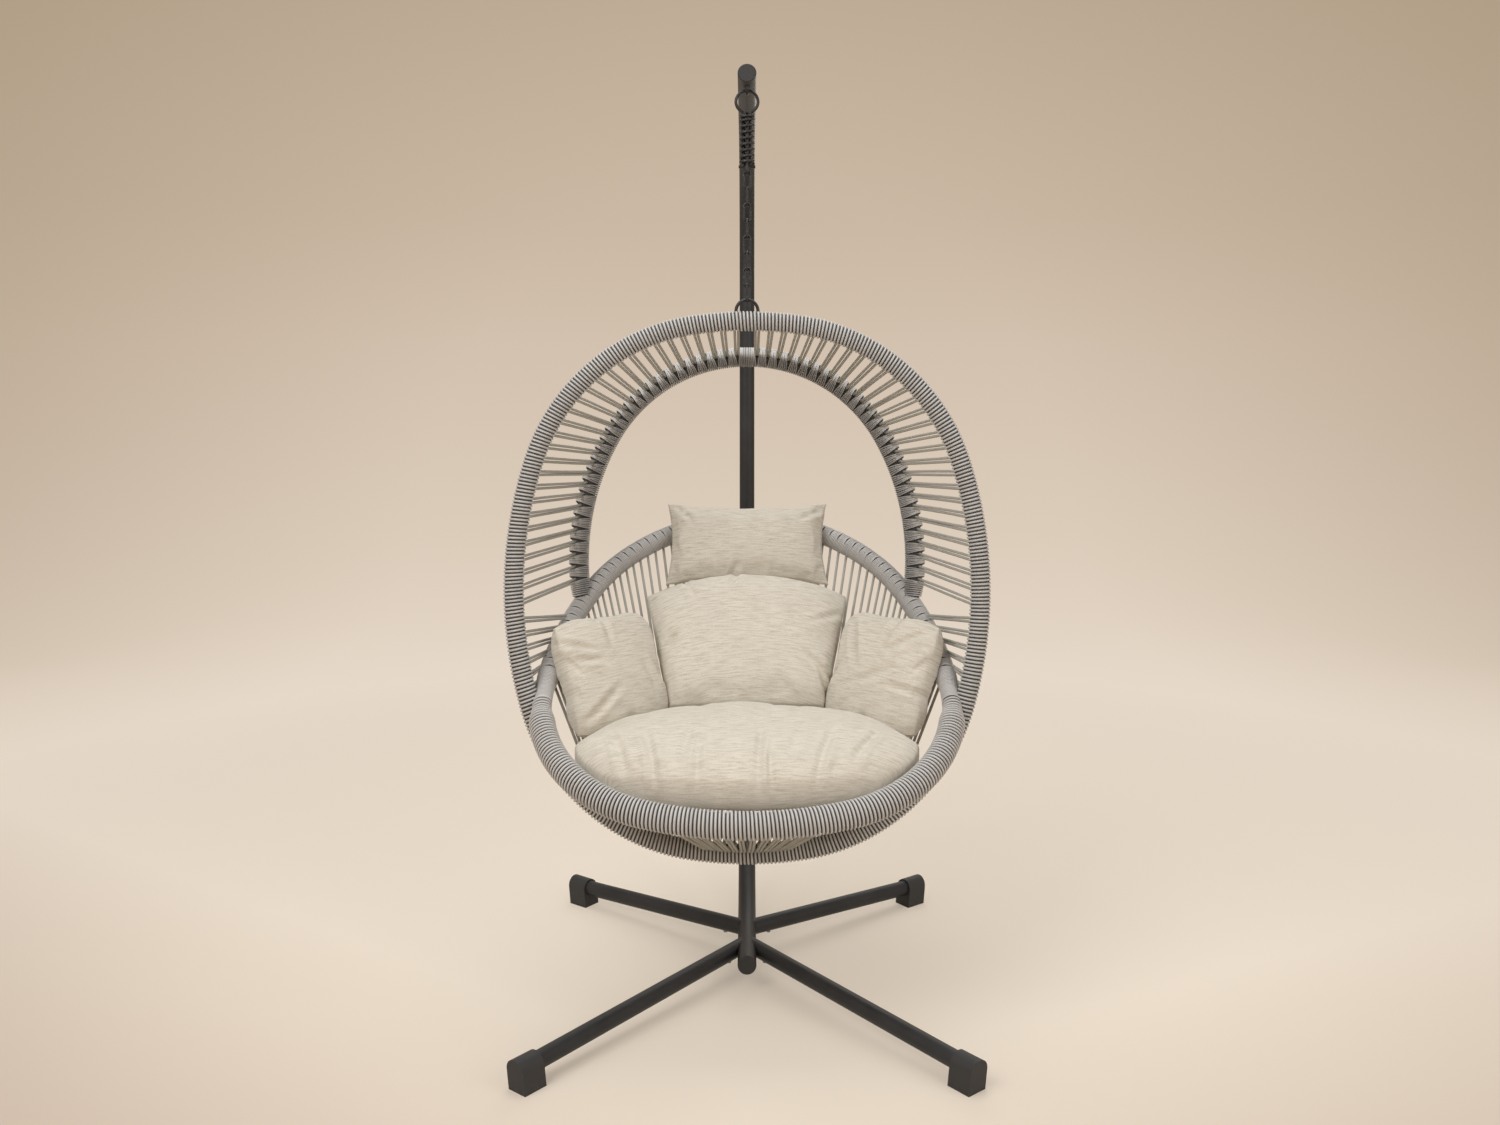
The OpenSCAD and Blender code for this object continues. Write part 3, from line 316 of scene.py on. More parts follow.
@dataclass(frozen=True)
class BarSteel(Finish):
    """Black-oxide wire and fastener steel, rubbed bright where pieces work on each other."""

    name: str = "bar_steel"
    colour: Colour = (0.022, 0.022, 0.024)
    bright: Colour = (0.20, 0.19, 0.18)
    rubbed: float = 0.35

    def paint(self, bench: Bench) -> None:
        """Builds the oxide's mottling and the rubbed places."""
        place = bench.own_place()
        mottle = bench.grain(place, 120.0, 5.0, 0.65)
        wear = bench.spread(mottle, 0.56, 0.7, 0.0, self.rubbed)
        bench.surface(
            Base_Color=bench.blend(wear, self.colour, self.bright),
            Metallic=0.35 + 0.5 * wear,
            Roughness=0.36 + 0.18 * mottle,
            Normal=bench.bump(bench.grain(place, 1400.0, 2.0), 0.12, 0.0005),
        )


@dataclass(frozen=True)
class WoundRope(Finish):
    """Braided cord with painted shade: pale on the crown of each turn, painted dark towards the grooves
    between turns.
    """

    name: str
    colour: Colour = (0.72, 0.71, 0.69)
    # Painted shade: the colour that each turn darkens to towards the grooves; depth sets how quickly.
    groove_shade: Colour = (0.014, 0.014, 0.014)
    depth: float = 1.0
    plait: float = 700.0

    def paint(self, bench: Bench) -> None:
        """Builds the plait from the cord's own length and girth, and paints shade on it by its crown
        and its tint.
        """
        length = bench.axes(bench.laid())
        girth = length.output("Y")
        along, about = length * self.plait * 2.0, girth * 2 * math.pi * 3
        braid = 0.5 + 0.5 * (along + about).sine() * (along - about).sine()
        fluff = bench.grain(bench.own_place(), 1800.0, 3.0, 0.7)
        cloud = bench.grain(bench.own_place(), 9.0, 3.0)
        # Painted shade: below its crown the cord blends towards the painted groove shade colour.
        shade = bench.spread(bench.stored("crown"), 0.52, 0.97) ** self.depth
        uneven = (0.18 * braid + 0.35 * fluff + 0.25 * cloud).at_most(1.0)
        body = bench.blend(uneven, self.colour, toned(self.colour, 0.55))
        # The tint darkens the cord towards 12% of its colour: random tone from turn to turn, plus
        # painted shade on the core, the inside of the inner hoop and one strand of each pair.
        body = bench.blend(bench.stored("tint"), toned(self.colour, 0.12), body)
        bench.surface(
            Base_Color=bench.blend(shade, self.groove_shade, body),
            Roughness=0.72 + 0.15 * fluff,
            Specular_IOR_Level=0.25,
            Sheen_Weight=0.15,
            Normal=bench.bump(0.7 * braid + 0.3 * fluff, 0.35, 0.0006),
        )


@dataclass(frozen=True)
class SlubLinen(Finish):
    """Cream linen-look cloth: uneven crosswise slubs over a plain weave."""

    name: str = "slub_linen"
    colour: Colour = (0.70, 0.655, 0.565)
    slub: Colour = (0.46, 0.41, 0.32)
    pale: Colour = (0.86, 0.835, 0.785)
    threads: float = 900.0

    def paint(self, bench: Bench) -> None:
        """Builds threads both ways, slubs along the width and a slow unevenness."""
        laid = bench.laid()
        slubs = bench.grain(bench.stretched(laid, (26.0, 300.0, 1.0)), 1.0, 4.0, 0.7)
        fine = bench.grain(bench.stretched(laid, (260.0, 1500.0, 1.0)), 1.0, 3.0, 0.6)
        upright = bench.grain(bench.stretched(laid, (480.0, 240.0, 1.0)), 1.0, 3.0, 0.7)
        cloud = bench.grain(laid, 11.0, 3.0)
        across = bench.axes(laid)
        ways = (across.output("Y"), across)
        weft, warp = (0.5 + 0.5 * (w * self.threads * 2 * math.pi).sine() for w in ways)
        tone = bench.blend(bench.spread(slubs, 0.44, 0.66) * 0.85, self.colour, self.slub)
        tone = bench.blend(bench.spread(upright, 0.5, 0.7, 0.0, 0.8) * 0.6, tone, self.pale)
        duller = bench.spread(cloud, 0.35, 0.7, 0.0, 0.3)
        height = 0.4 * slubs + 0.2 * fine + 0.3 * upright + 0.1 * (weft * 0.5 + warp * 0.5)
        bench.surface(
            Base_Color=bench.blend(duller, tone, toned(self.colour, 0.86)),
            Roughness=0.88,
            Specular_IOR_Level=0.12,
            Sheen_Weight=0.25,
            Sheen_Roughness=0.5,
            Normal=bench.bump(height, 0.55, 0.0022),
        )


# the basket's lines


@dataclass(frozen=True)
class Arc:
    """Part of a plane oval, about (x, y): its angle falls from start to stop, in mm and degrees."""

    x: float
    y: float
    radius: float
    start: float
    stop: float

    @property
    def length(self) -> float:
        """Its length in mm."""
        return self.radius * math.radians(abs(self.stop - self.start))


def quarter_oval(
    half_w: float, half_h: float, end_r: float, end_a: float, side_a: float
) -> list[Arc]:
    """Three tangent arcs from an oval's top to its side.

    Args:
        half_w: Half the oval's width.
        half_h: Its height over its widest place.
        end_r: Radius of the flat arc at the top.
        end_a: Half the angle of that arc.
        side_a: Angle of the arc at the side.

    Returns:
        The arcs, top first.
    """
    sin_s, cos_s = math.sin(math.radians(side_a)), math.cos(math.radians(side_a))
    sin_e, cos_e = math.sin(math.radians(end_a)), math.cos(math.radians(end_a))
    k1, k2, k3, k4 = sin_s - cos_e, -sin_s, cos_s - sin_e, 1 - cos_s
    b1, b2 = end_r - half_h - end_r * cos_e, half_w - end_r * sin_e
    det = k1 * k4 - k2 * k3
    shoulder_r = (b1 * k4 - k2 * b2) / det
    side_r = (k1 * b2 - b1 * k3) / det
    top = half_h - end_r
    x, y = (end_r - shoulder_r) * sin_e, top + (end_r - shoulder_r) * cos_e
    return [
        Arc(0.0, top, end_r, 90, 90 - end_a),
        Arc(x, y, shoulder_r, 90 - end_a, side_a),
        Arc(half_w - side_r, 0, side_r, side_a, 0),
    ]


def turned_down(arcs: Sequence[Arc]) -> list[Arc]:
    """The same quarter below the side, from the side to the foot."""
    return [Arc(a.x, -a.y, a.radius, -a.stop, -a.start) for a in reversed(arcs)]


@dataclass(frozen=True)
class TubeLine:
    """A tube's middle line: half an oval in a leaning plane and its mirror image.

    A place on it is a length in mm from the line's top, less than 0 on the left side.
    """

    arcs: tuple[Arc, ...]
    origin: Triple
    lean: float

    @property
    def length(self) -> float:
        """Length of the half line in mm."""
        return sum(a.length for a in self.arcs)

    def at(self, s: Points) -> tuple[Points, Points, Points, Points]:
        """Places and directions along the line.

        Args:
            s: Lengths from the top in mm.

        Returns:
            Points in metres, and unit vectors along the line, outward and square to its plane.
        """
        s = np.atleast_1d(np.asarray(s, float))
        rest = np.abs(s)
        x, y, a = np.zeros_like(s), np.zeros_like(s), np.zeros_like(s)
        begun = 0.0
        for arc in self.arcs:
            end = begun + arc.length
            here = (rest >= begun) & ((rest < end) | (arc is self.arcs[-1]))
            way = math.copysign(1.0, arc.stop - arc.start)
            a[here] = np.radians(arc.start) + way * (rest[here] - begun) / arc.radius
            x[here] = arc.x + arc.radius * np.cos(a[here])
            y[here] = arc.y + arc.radius * np.sin(a[here])
            begun = end
        flip = np.where(s < 0, -1.0, 1.0)
        return (
            (self._placed(x * flip, y) + np.array(self.origin)) * MM,
            self._placed(np.sin(a), -np.cos(a) * flip),
            self._placed(np.cos(a) * flip, np.sin(a)),
            self._placed(0 * s, 0 * s, 1.0),
        )

    def point(self, s: float) -> Points:
        """One place on the line, in metres."""
        return self.at(s)[0][0]

    def _placed(self, x: Points, y: Points, depth: float = 0.0) -> Points:
        """Takes coordinates in the plane into the row frame.

        Args:
            x: To the right.
            y: Up the plane.
            depth: How far out of the plane, towards the front.

        Returns:
            Triples about the plane's origin, in the unit of x and y.
        """
        c, s = math.cos(math.radians(self.lean)), math.sin(math.radians(self.lean))
        right, up, front = np.array([[1.0, 0.0, 0.0], [0.0, s, c], [0.0, -c, s]])
        return x[:, None] * right + y[:, None] * up + depth * front


@dataclass
class BasketLayout:
    """The basket's sizes in mm and the middle lines that follow from them."""

    hang_y: float = -159.831
    hoop_half_w: float = 491
    hoop_half_h: float = 554
    hoop_lean: float = 6
    hoop_top_z: float = 1422.0
    inner_half_w: float = 382
    inner_half_h: float = 455
    inner_foot: float = 300
    weld_drop: float = 258
    hood_depth: float = 240
    hood_drop: float = 75
    seat_slope: float = 33
    seat_front: float = 313
    seat_back: float = 590
    tube_r: float = 15
    play: float = 0.3
    outer_rope: float = 7
    back_rope: float = 8
    front_rope: float = 12
    strand_d: float = 6
    pair_pitch: float = 8.5
    hood_pitch: float = 31.1
    hood_pairs: int = 29
    side_pairs: int = 6
    hood_lift: float = 22
    web_pitch: float = 23
    web_gather: float = 10
    front_pairs: int = 12
    front_ring_pitch: float = 36
    front_outer_pitch: float = 13.6
    hoop_ends: Triple = (810, 8, 17)
    inner_ends: Triple = (364, 5, 28)
    ring_back_ends: Triple = (330, 25, 24)
    ring_front_ends: Triple = (760, 15, 24)
    weld_gap: float = 0.2
    hood_first: float = 18.5
    web_end: float = 60
    outer: TubeLine = field(init=False)
    inner: TubeLine = field(init=False)
    ring_back: TubeLine = field(init=False)
    ring_front: TubeLine = field(init=False)

    def __post_init__(self) -> None:
        """Works out the four middle lines."""
        top = quarter_oval(self.hoop_half_w, self.hoop_half_h, *self.hoop_ends)
        lean = math.radians(self.hoop_lean)
        middle_y = self.hang_y + -self.hoop_half_h * math.sin(lean)
        middle_z = self.hoop_top_z + -self.hoop_half_h * math.cos(lean)
        self.outer = TubeLine(tuple(top + turned_down(top)), (0.0, middle_y, middle_z), self.hoop_lean)
        weld, along, _, _ = self.outer.at(sum(a.length for a in top) + self.weld_drop)
        slope = math.radians(self.seat_slope)
        normal = unit(np.cross(along[0], [0.0, math.cos(slope), math.sin(slope)]))
        normal = -normal if normal[0] > 0 else normal
        on_ring = weld[0] / MM + normal * (2 * self.tube_r + self.weld_gap)
        half_w, *ring_y_z = (float(v) for v in on_ring)
        origin, ring_lean = (0.0, *ring_y_z), 90.0 - self.seat_slope
        back = quarter_oval(half_w, self.seat_back, *self.ring_back_ends)
        front = turned_down(quarter_oval(half_w, self.seat_front, *self.ring_front_ends))
        self.ring_back = TubeLine(tuple(back), origin, ring_lean)
        self.ring_front = TubeLine(tuple(front), origin, ring_lean)
        end = self.ring_back.point(self.ring_back.length - self.inner_foot) / MM
        inner_top = np.array([0.0, self.hang_y + self.hood_depth, self.hoop_top_z - self.hood_drop])
        rise = inner_top - end
        tilt = math.degrees(math.atan2(rise[1], rise[2]))
        below = math.hypot(rise[1], rise[2]) - self.inner_half_h
        inset = self.inner_half_w - float(end[0])
        low_r = (below**2 + inset**2) / (2 * inset)
        arcs = quarter_oval(self.inner_half_w, self.inner_half_h, *self.inner_ends)
        low_a = math.degrees(math.asin(below / low_r))
        arcs.append(Arc(self.inner_half_w - low_r, 0, low_r, 0, -low_a))
        c, s = math.cos(math.radians(tilt)), math.sin(math.radians(tilt))
        middle = inner_top - self.inner_half_h * np.array([0.0, s, c])
        self.inner = TubeLine(tuple(arcs), tuple(middle), tilt)

    def wrap_r(self, rope: float) -> float:
        """Outer radius of a wrap with a layer of rope so thick."""
        return self.tube_r + self.play + rope

    @property
    def web_count(self) -> int:
        """How many strands each half of the web has."""
        return int((self.ring_back.length - self.web_end - self.strand_d) // self.web_pitch)

    @property
    def hood_start(self) -> float:
        """Where the first pair leaves the hoops, from their tops."""
        return self.pair_pitch / 2 + self.hood_first

    @property
    def inner_wrap_length(self) -> float:
        """Length of the inner hoop's wrap, from its top to where it stops short of the ring."""
        along_hoop = self.inner.at(self.inner.length - 0.5)[1][0]
        along_ring = self.ring_back.at(self.ring_back.length - self.inner_foot)[1][0]
        c, radius = abs(float(along_hoop @ along_ring)), self.wrap_r(self.back_rope)
        return self.inner.length - (radius + 2 + radius * c) / math.sqrt(1 - c * c)

    def hood_inner_s(self, pair: int) -> float:
        """Place of a pair of the hood on the inner hoop."""
        n = self.hood_pairs
        step = (self.inner_wrap_length - self.pair_pitch - self.hood_start) / (n - 1)
        t = (pair - 0.3 * n) / (0.7 * n)
        lift = self.hood_lift * math.sin(math.pi * min(t, 1.0)) if t > 0 else 0.0
        return self.hood_start + pair * step - lift


# ropes as meshes


def new_mesh(name: str, points: Points, faces: Points, laid: Points) -> bpy.types.Mesh:
    """Makes a smooth mesh of quads.

    Args:
        name: Its name.
        points: Its points, n by 3, in metres.
        faces: Its faces, m by 4.
        laid: Coordinates along and across the cord or cloth at each corner of a face, in metres.

    Returns:
        The mesh.
    """
    mesh = bpy.data.meshes.new(name)
    mesh.vertices.add(len(points))
    mesh.vertices.foreach_set("co", points.astype(np.float32).ravel())
    mesh.loops.add(faces.size)
    mesh.loops.foreach_set("vertex_index", faces.astype(np.int32).ravel())
    mesh.polygons.add(len(faces))
    mesh.polygons.foreach_set("loop_start", np.arange(0, faces.size, 4, dtype=np.int32))
    mesh.polygons.foreach_set("use_smooth", np.ones(len(faces), bool))
    mesh.update(calc_edges=True)
    places = mesh.uv_layers.new(name="laid")
    places.data.foreach_set("uv", laid.astype(np.float32).ravel())
    return mesh


def linked(name: str, data: bpy.types.ID) -> Piece:
    """Puts a mesh, a lamp or a camera in the scene as an object."""
    made = bpy.data.objects.new(name, data)
    bpy.context.scene.collection.objects.link(made)
    return made


def stand_in(
    piece: Piece, finish: Finish, node: str, link: str = "basket"
) -> Piece:
    """Dresses a piece and puts it in a CAD node's place.

    Args:
        piece: The piece.
        finish: Its finish.
        node: The CAD node that it stands for.
        link: The body that it moves with.

    Returns:
        The piece.
    """
    finish.put_on(piece)
    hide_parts(node)
    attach(piece, link)
    return piece


@dataclass
class RopeMesh:
    """Gathers tubes of cord into one mesh, with each point's crown and tint, which set its painted
    shade and tone, and its place along its cord.
    """

    name: str
    sides: int = 6
    cords: list[tuple[Points, ...]] = field(default_factory=list)
    count: int = 0

    def tube(
        self,
        middle: Points,
        across: Points,
        outward: Points,
        half_w: Union[float, Points],
        half_h: Union[float, Points],
        tint: Union[float, Points] = 1.0,
        even: bool = False,
        sides: int = 0,
    ) -> None:
        """Adds one cord.

        Args:
            middle: Its middle line, n points in metres.
            across: Unit vectors over its width.
            outward: Unit vectors over its height.
            half_w: Half its width in metres.
            half_h: Half its height in metres.
            tint: How pale it is, 0 to 1, per cord or per point.
            even: Whether its crown counts all the way round, as on a cord that hangs free, which then
                gets almost no painted groove shade.
            sides: How many sides it has, or 0 for the mesh's own number.
        """
        n, k = len(middle), sides or self.sides
        angle = np.arange(k) / k * TURN + math.pi / 2
        c, s = np.cos(angle), np.sin(angle)
        wide, high, pale = (
            np.broadcast_to(np.asarray(v, float), (n,))[:, None] for v in (half_w, half_h, tint)
        )
        ring = (
            middle[:, None, :]
            + (wide * c)[:, :, None] * across[:, None, :]
            + (high * s)[:, :, None] * outward[:, None, :]
        )
        i, j = np.arange(n - 1)[:, None] * k, np.arange(k)[None, :]
        nxt = (j + 1) % k
        quads = np.stack([i + j, i + nxt, i + k + nxt, i + k + j], -1).reshape(-1, 4)
        half = np.arange(k // 2 - 1)
        near = np.stack([k - 1 - half, k - 2 - half, half + 1, half], -1)
        caps = np.concatenate([near, (n - 1) * k + near[:, ::-1]])
        run = np.concatenate([[0.0], np.cumsum(np.linalg.norm(np.diff(middle, axis=0), axis=1))])
        laid = np.empty((n - 1, k, 4, 2))
        laid[..., 0] = np.stack([run[:-1], run[:-1], run[1:], run[1:]], -1)[:, None, :]
        laid[..., 1] = np.stack([j[0], j[0] + 1, j[0] + 1, j[0]], -1) / k
        # Painted shade mask: the crown runs from 0 on the cord's under side to 1 on its outer side, and
        # the finish paints the low side dark.
        crown = np.full((n, k), 0.95) if even else np.broadcast_to(0.5 + 0.5 * s, (n, k))
        faces = np.concatenate([quads, caps]) + self.count
        laid = np.concatenate([laid.reshape(-1, 2), np.zeros((caps.size, 2))])
        smooth = np.arange(len(faces)) < len(quads)
        tints = np.broadcast_to(pale, (n, k)).ravel()
        self.cords.append((ring.reshape(-1, 3), faces, laid, smooth, crown.ravel(), tints))
        self.count += n * k

    def build(self) -> Piece:
        """Makes the object.

        Returns:
            The object, linked to the scene.
        """
        points, faces, laid, smooth, *shades = (np.concatenate(v) for v in zip(*self.cords))
        mesh = new_mesh(self.name, points, faces, laid)
        mesh.polygons.foreach_set("use_smooth", smooth)
        for name, values in zip(("crown", "tint"), shades):
            layer = mesh.attributes.new(name, "FLOAT", "POINT")
            layer.data.foreach_set("value", values.astype(np.float32))
        return linked(self.name, mesh)


@dataclass(frozen=True)
class Parting:
    """Turns that stand apart for strands: the angle about the tube, and how far they part, in mm."""

    angle: float
    breadth: float
    half_gap: float
    reach: float

    def push(self, angle: Points, s: Points, places: Points) -> Points:
        """How far each point of the cord is pushed along the tube.

        Args:
            angle: The points' angles about the tube.
            s: Their places along it in mm.
            places: Where strands pass through.

        Returns:
            The push of each point in mm.
        """
        off = s[:, None] - places[None, :]
        nearest = off[np.arange(len(s)), np.argmin(np.abs(off), axis=1)]
        aside = (angle - math.radians(self.angle) + math.pi) % TURN - math.pi
        share = np.exp(-((aside / math.radians(self.breadth)) ** 2))
        return np.sign(nearest) * self.half_gap * np.exp(-np.abs(nearest) / self.reach) * share


@dataclass(frozen=True)
class Taper:
    """Two places between which a wrap keeps its radius, and how much it shrinks outside them, in mm."""

    low: float = -1e6
    high: float = 1e6
    depth: float = 0.0
    run: float = 45.0

    def at(self, s: Points) -> Points:
        """How much less the radius is at each place, in mm."""
        return self.depth * smooth_step(np.maximum(self.low - s, s - self.high) / self.run)


@dataclass(frozen=True)
class Winding:
    """Cord wound round a tube over a core painted near black, which stands for the shade that shows
    between turns; sizes in mm.
    """

    line: TubeLine
    outer_r: float
    cord_w: float
    cord_h: float
    pitch: float
    core_r: float
    tints: Pair
    steps: int = 20
    taper: Taper = Taper()
    core_taper: Taper = Taper()
    parting: Optional[Parting] = None
    # How much tone the painted shade leaves on the side of the tube that faces the hoop's middle.
    inner_shade: float = 1.0
    core_step: float = 12.0
    core_sides: int = 20

    def wind(self, rope: RopeMesh, stops: Sequence[float]) -> None:
        """Lays the core and winds the cord, with whole turns between one stop and the next.

        Args:
            rope: The mesh that takes them.
            stops: Places along the line in mm, rising; turns part at the inner ones.
        """
        first, last = stops[0], stops[-1]
        s = np.linspace(first, last, max(3, int(abs(last - first) / self.core_step)))
        points, _, out, front = self.line.at(s)
        size = (self.core_r - self.core_taper.at(s)) * MM
        # Painted shade: the core gets tint 0, near black in the finish, to stand for the shade between
        # turns.
        rope.tube(points, out, front, size, size, 0.0, even=True, sides=self.core_sides)
        base = (math.radians(self.parting.angle) if self.parting else 0.0) + math.pi
        turns_done, theta, place = 0, [], []
        for a, b in zip(stops[:-1], stops[1:]):
            turns = max(1, round((b - a) / self.pitch))
            t = np.arange(turns * self.steps) / self.steps
            theta.append(base + TURN * (turns_done + t))
            place.append(a + (b - a) * t / turns)
            turns_done += turns
        angle = np.concatenate(theta + [[base + TURN * turns_done]])
        s = np.concatenate(place + [[float(last)]])
        if self.parting:
            s = s + self.parting.push(angle, s, np.asarray(stops[1:-1], float))
        points, along, out, front = self.line.at(s)
        radial = np.cos(angle)[:, None] * out + np.sin(angle)[:, None] * front
        radius = self.outer_r - self.cord_h / 2 - self.taper.at(s)
        shades = np.random.default_rng(len(s)).uniform(*self.tints, turns_done + 2)
        turn = np.floor((angle - base) / TURN + 0.5).astype(int)
        # Painted shade: the turns are painted darker on the side of the tube that faces the hoop's
        # middle, away from the light.
        facing = 0.5 - 0.5 * np.cos(angle)
        tint = shades[np.clip(turn, 0, len(shades) - 1)]
        tint = tint * (1 - (1 - self.inner_shade) * smooth_step((facing - 0.35) / 0.35))
        middle = points + radius[:, None] * MM * radial
        rope.tube(middle, along, radial, self.cord_w / 2 * MM, self.cord_h / 2 * MM, tint)


@dataclass
class BasketWraps:
    """The four wound wraps of the basket's frame; the gap keeps the ends of one hoop apart, in mm."""

    layout: BasketLayout
    finish: WoundRope
    fine_finish: WoundRope
    gap: float = 0.02
    inner_short: float = 19.0
    inner_past: float = 4.0
    inner_run: float = 12.0
    back_run: float = 70.0
    front_run: float = 62.0

    def build(self) -> list[Piece]:
        """Winds the four wraps."""
        return [self._outer(), self._inner(), self._ring_back(), self._ring_front()]

    @staticmethod
    def _mirrored(right: Sequence[float], end: float) -> list[float]:
        """Stops on both sides of a line's top, and its ends."""
        return [-end, *(-s for s in reversed(right)), *right, end]

    def _outer(self) -> Piece:
        """The outer hoop's wrap: even turns all the way round."""
        b, rope = self.layout, RopeMesh("outer_hoop_cord")
        radius, end = b.wrap_r(b.outer_rope), b.outer.length
        winding = Winding(
            b.outer, radius, cord_w=5.7, cord_h=b.outer_rope, pitch=7.7, core_r=radius - 3.6,
            tints=(0.92, 1.16),
        )
        winding.wind(rope, (-end + self.gap, end))
        return stand_in(rope.build(), self.finish, "outer_hoop_wrap")

    def _inner(self) -> Piece:
        """The inner hoop's wrap: its turns part where a pair of strands comes in."""
        b, rope = self.layout, RopeMesh("inner_hoop_cord")
        end = b.inner_wrap_length + self.inner_past
        stops = self._mirrored([b.hood_inner_s(k) for k in range(b.hood_pairs)], end)
        stops = [s for i, s in enumerate(stops) if i == 0 or s - stops[i - 1] > 2]
        stops[-1] = b.inner.length - self.inner_short
        stops[0] = -stops[-1]
        low, high = -end + self.inner_run, end - self.inner_run
        winding = Winding(
            b.inner, b.wrap_r(b.back_rope), cord_w=4.2, cord_h=6.5, pitch=4.7, core_r=b.tube_r + 2.0,
            tints=(0.95, 1.15), steps=22, taper=Taper(low, high, 3.5), inner_shade=0.5,
            core_taper=Taper(low, high, 1.2), parting=Parting(38.0, 70.0, 7.6, 8.5),
        )
        winding.wind(rope, stops)
        return stand_in(rope.build(), self.finish, "inner_hoop_wrap")

    def _ring_back(self) -> Piece:
        """The ring's back: fine close turns with a slit for each strand of the web."""
        b, rope = self.layout, RopeMesh("ring_back_cord")
        radius, end = b.wrap_r(b.back_rope), b.ring_back.length
        taper = Taper(-end + self.back_run, end - self.back_run, 3.6)
        winding = Winding(
            b.ring_back, radius, cord_w=3.7, cord_h=4.2, pitch=3.6, core_r=radius - 4.6,
            tints=(0.9, 1.15), steps=18, taper=taper, core_taper=taper,
            parting=Parting(95.0, 24.0, 2.6, 3.2),
        )
        right = [(i + 0.5) * b.web_pitch for i in range(b.web_count)]
        winding.wind(rope, self._mirrored(right, end))
        return stand_in(rope.build(), self.fine_finish, "ring_back_wrap")

    def _ring_front(self) -> Piece:
        """The ring's front: thick turns of doubled cord."""
        b, rope = self.layout, RopeMesh("ring_front_cord", sides=10)
        radius, end = b.wrap_r(b.front_rope), b.ring_front.length
        right, left = Taper(low=self.front_run, depth=7.0), Taper(high=-self.front_run, depth=7.0)
        for taper, ends in ((right, (0.0, end)), (left, (-end + self.gap, -self.gap / 2))):
            winding = Winding(
                b.ring_front, radius, cord_w=6.0, cord_h=9.0, pitch=7.6, core_r=radius - 4.8,
                tints=(0.9, 1.16), steps=26, taper=taper, core_taper=taper,
            )
            winding.wind(rope, ends)
        return stand_in(rope.build(), self.finish, "ring_front_wrap")


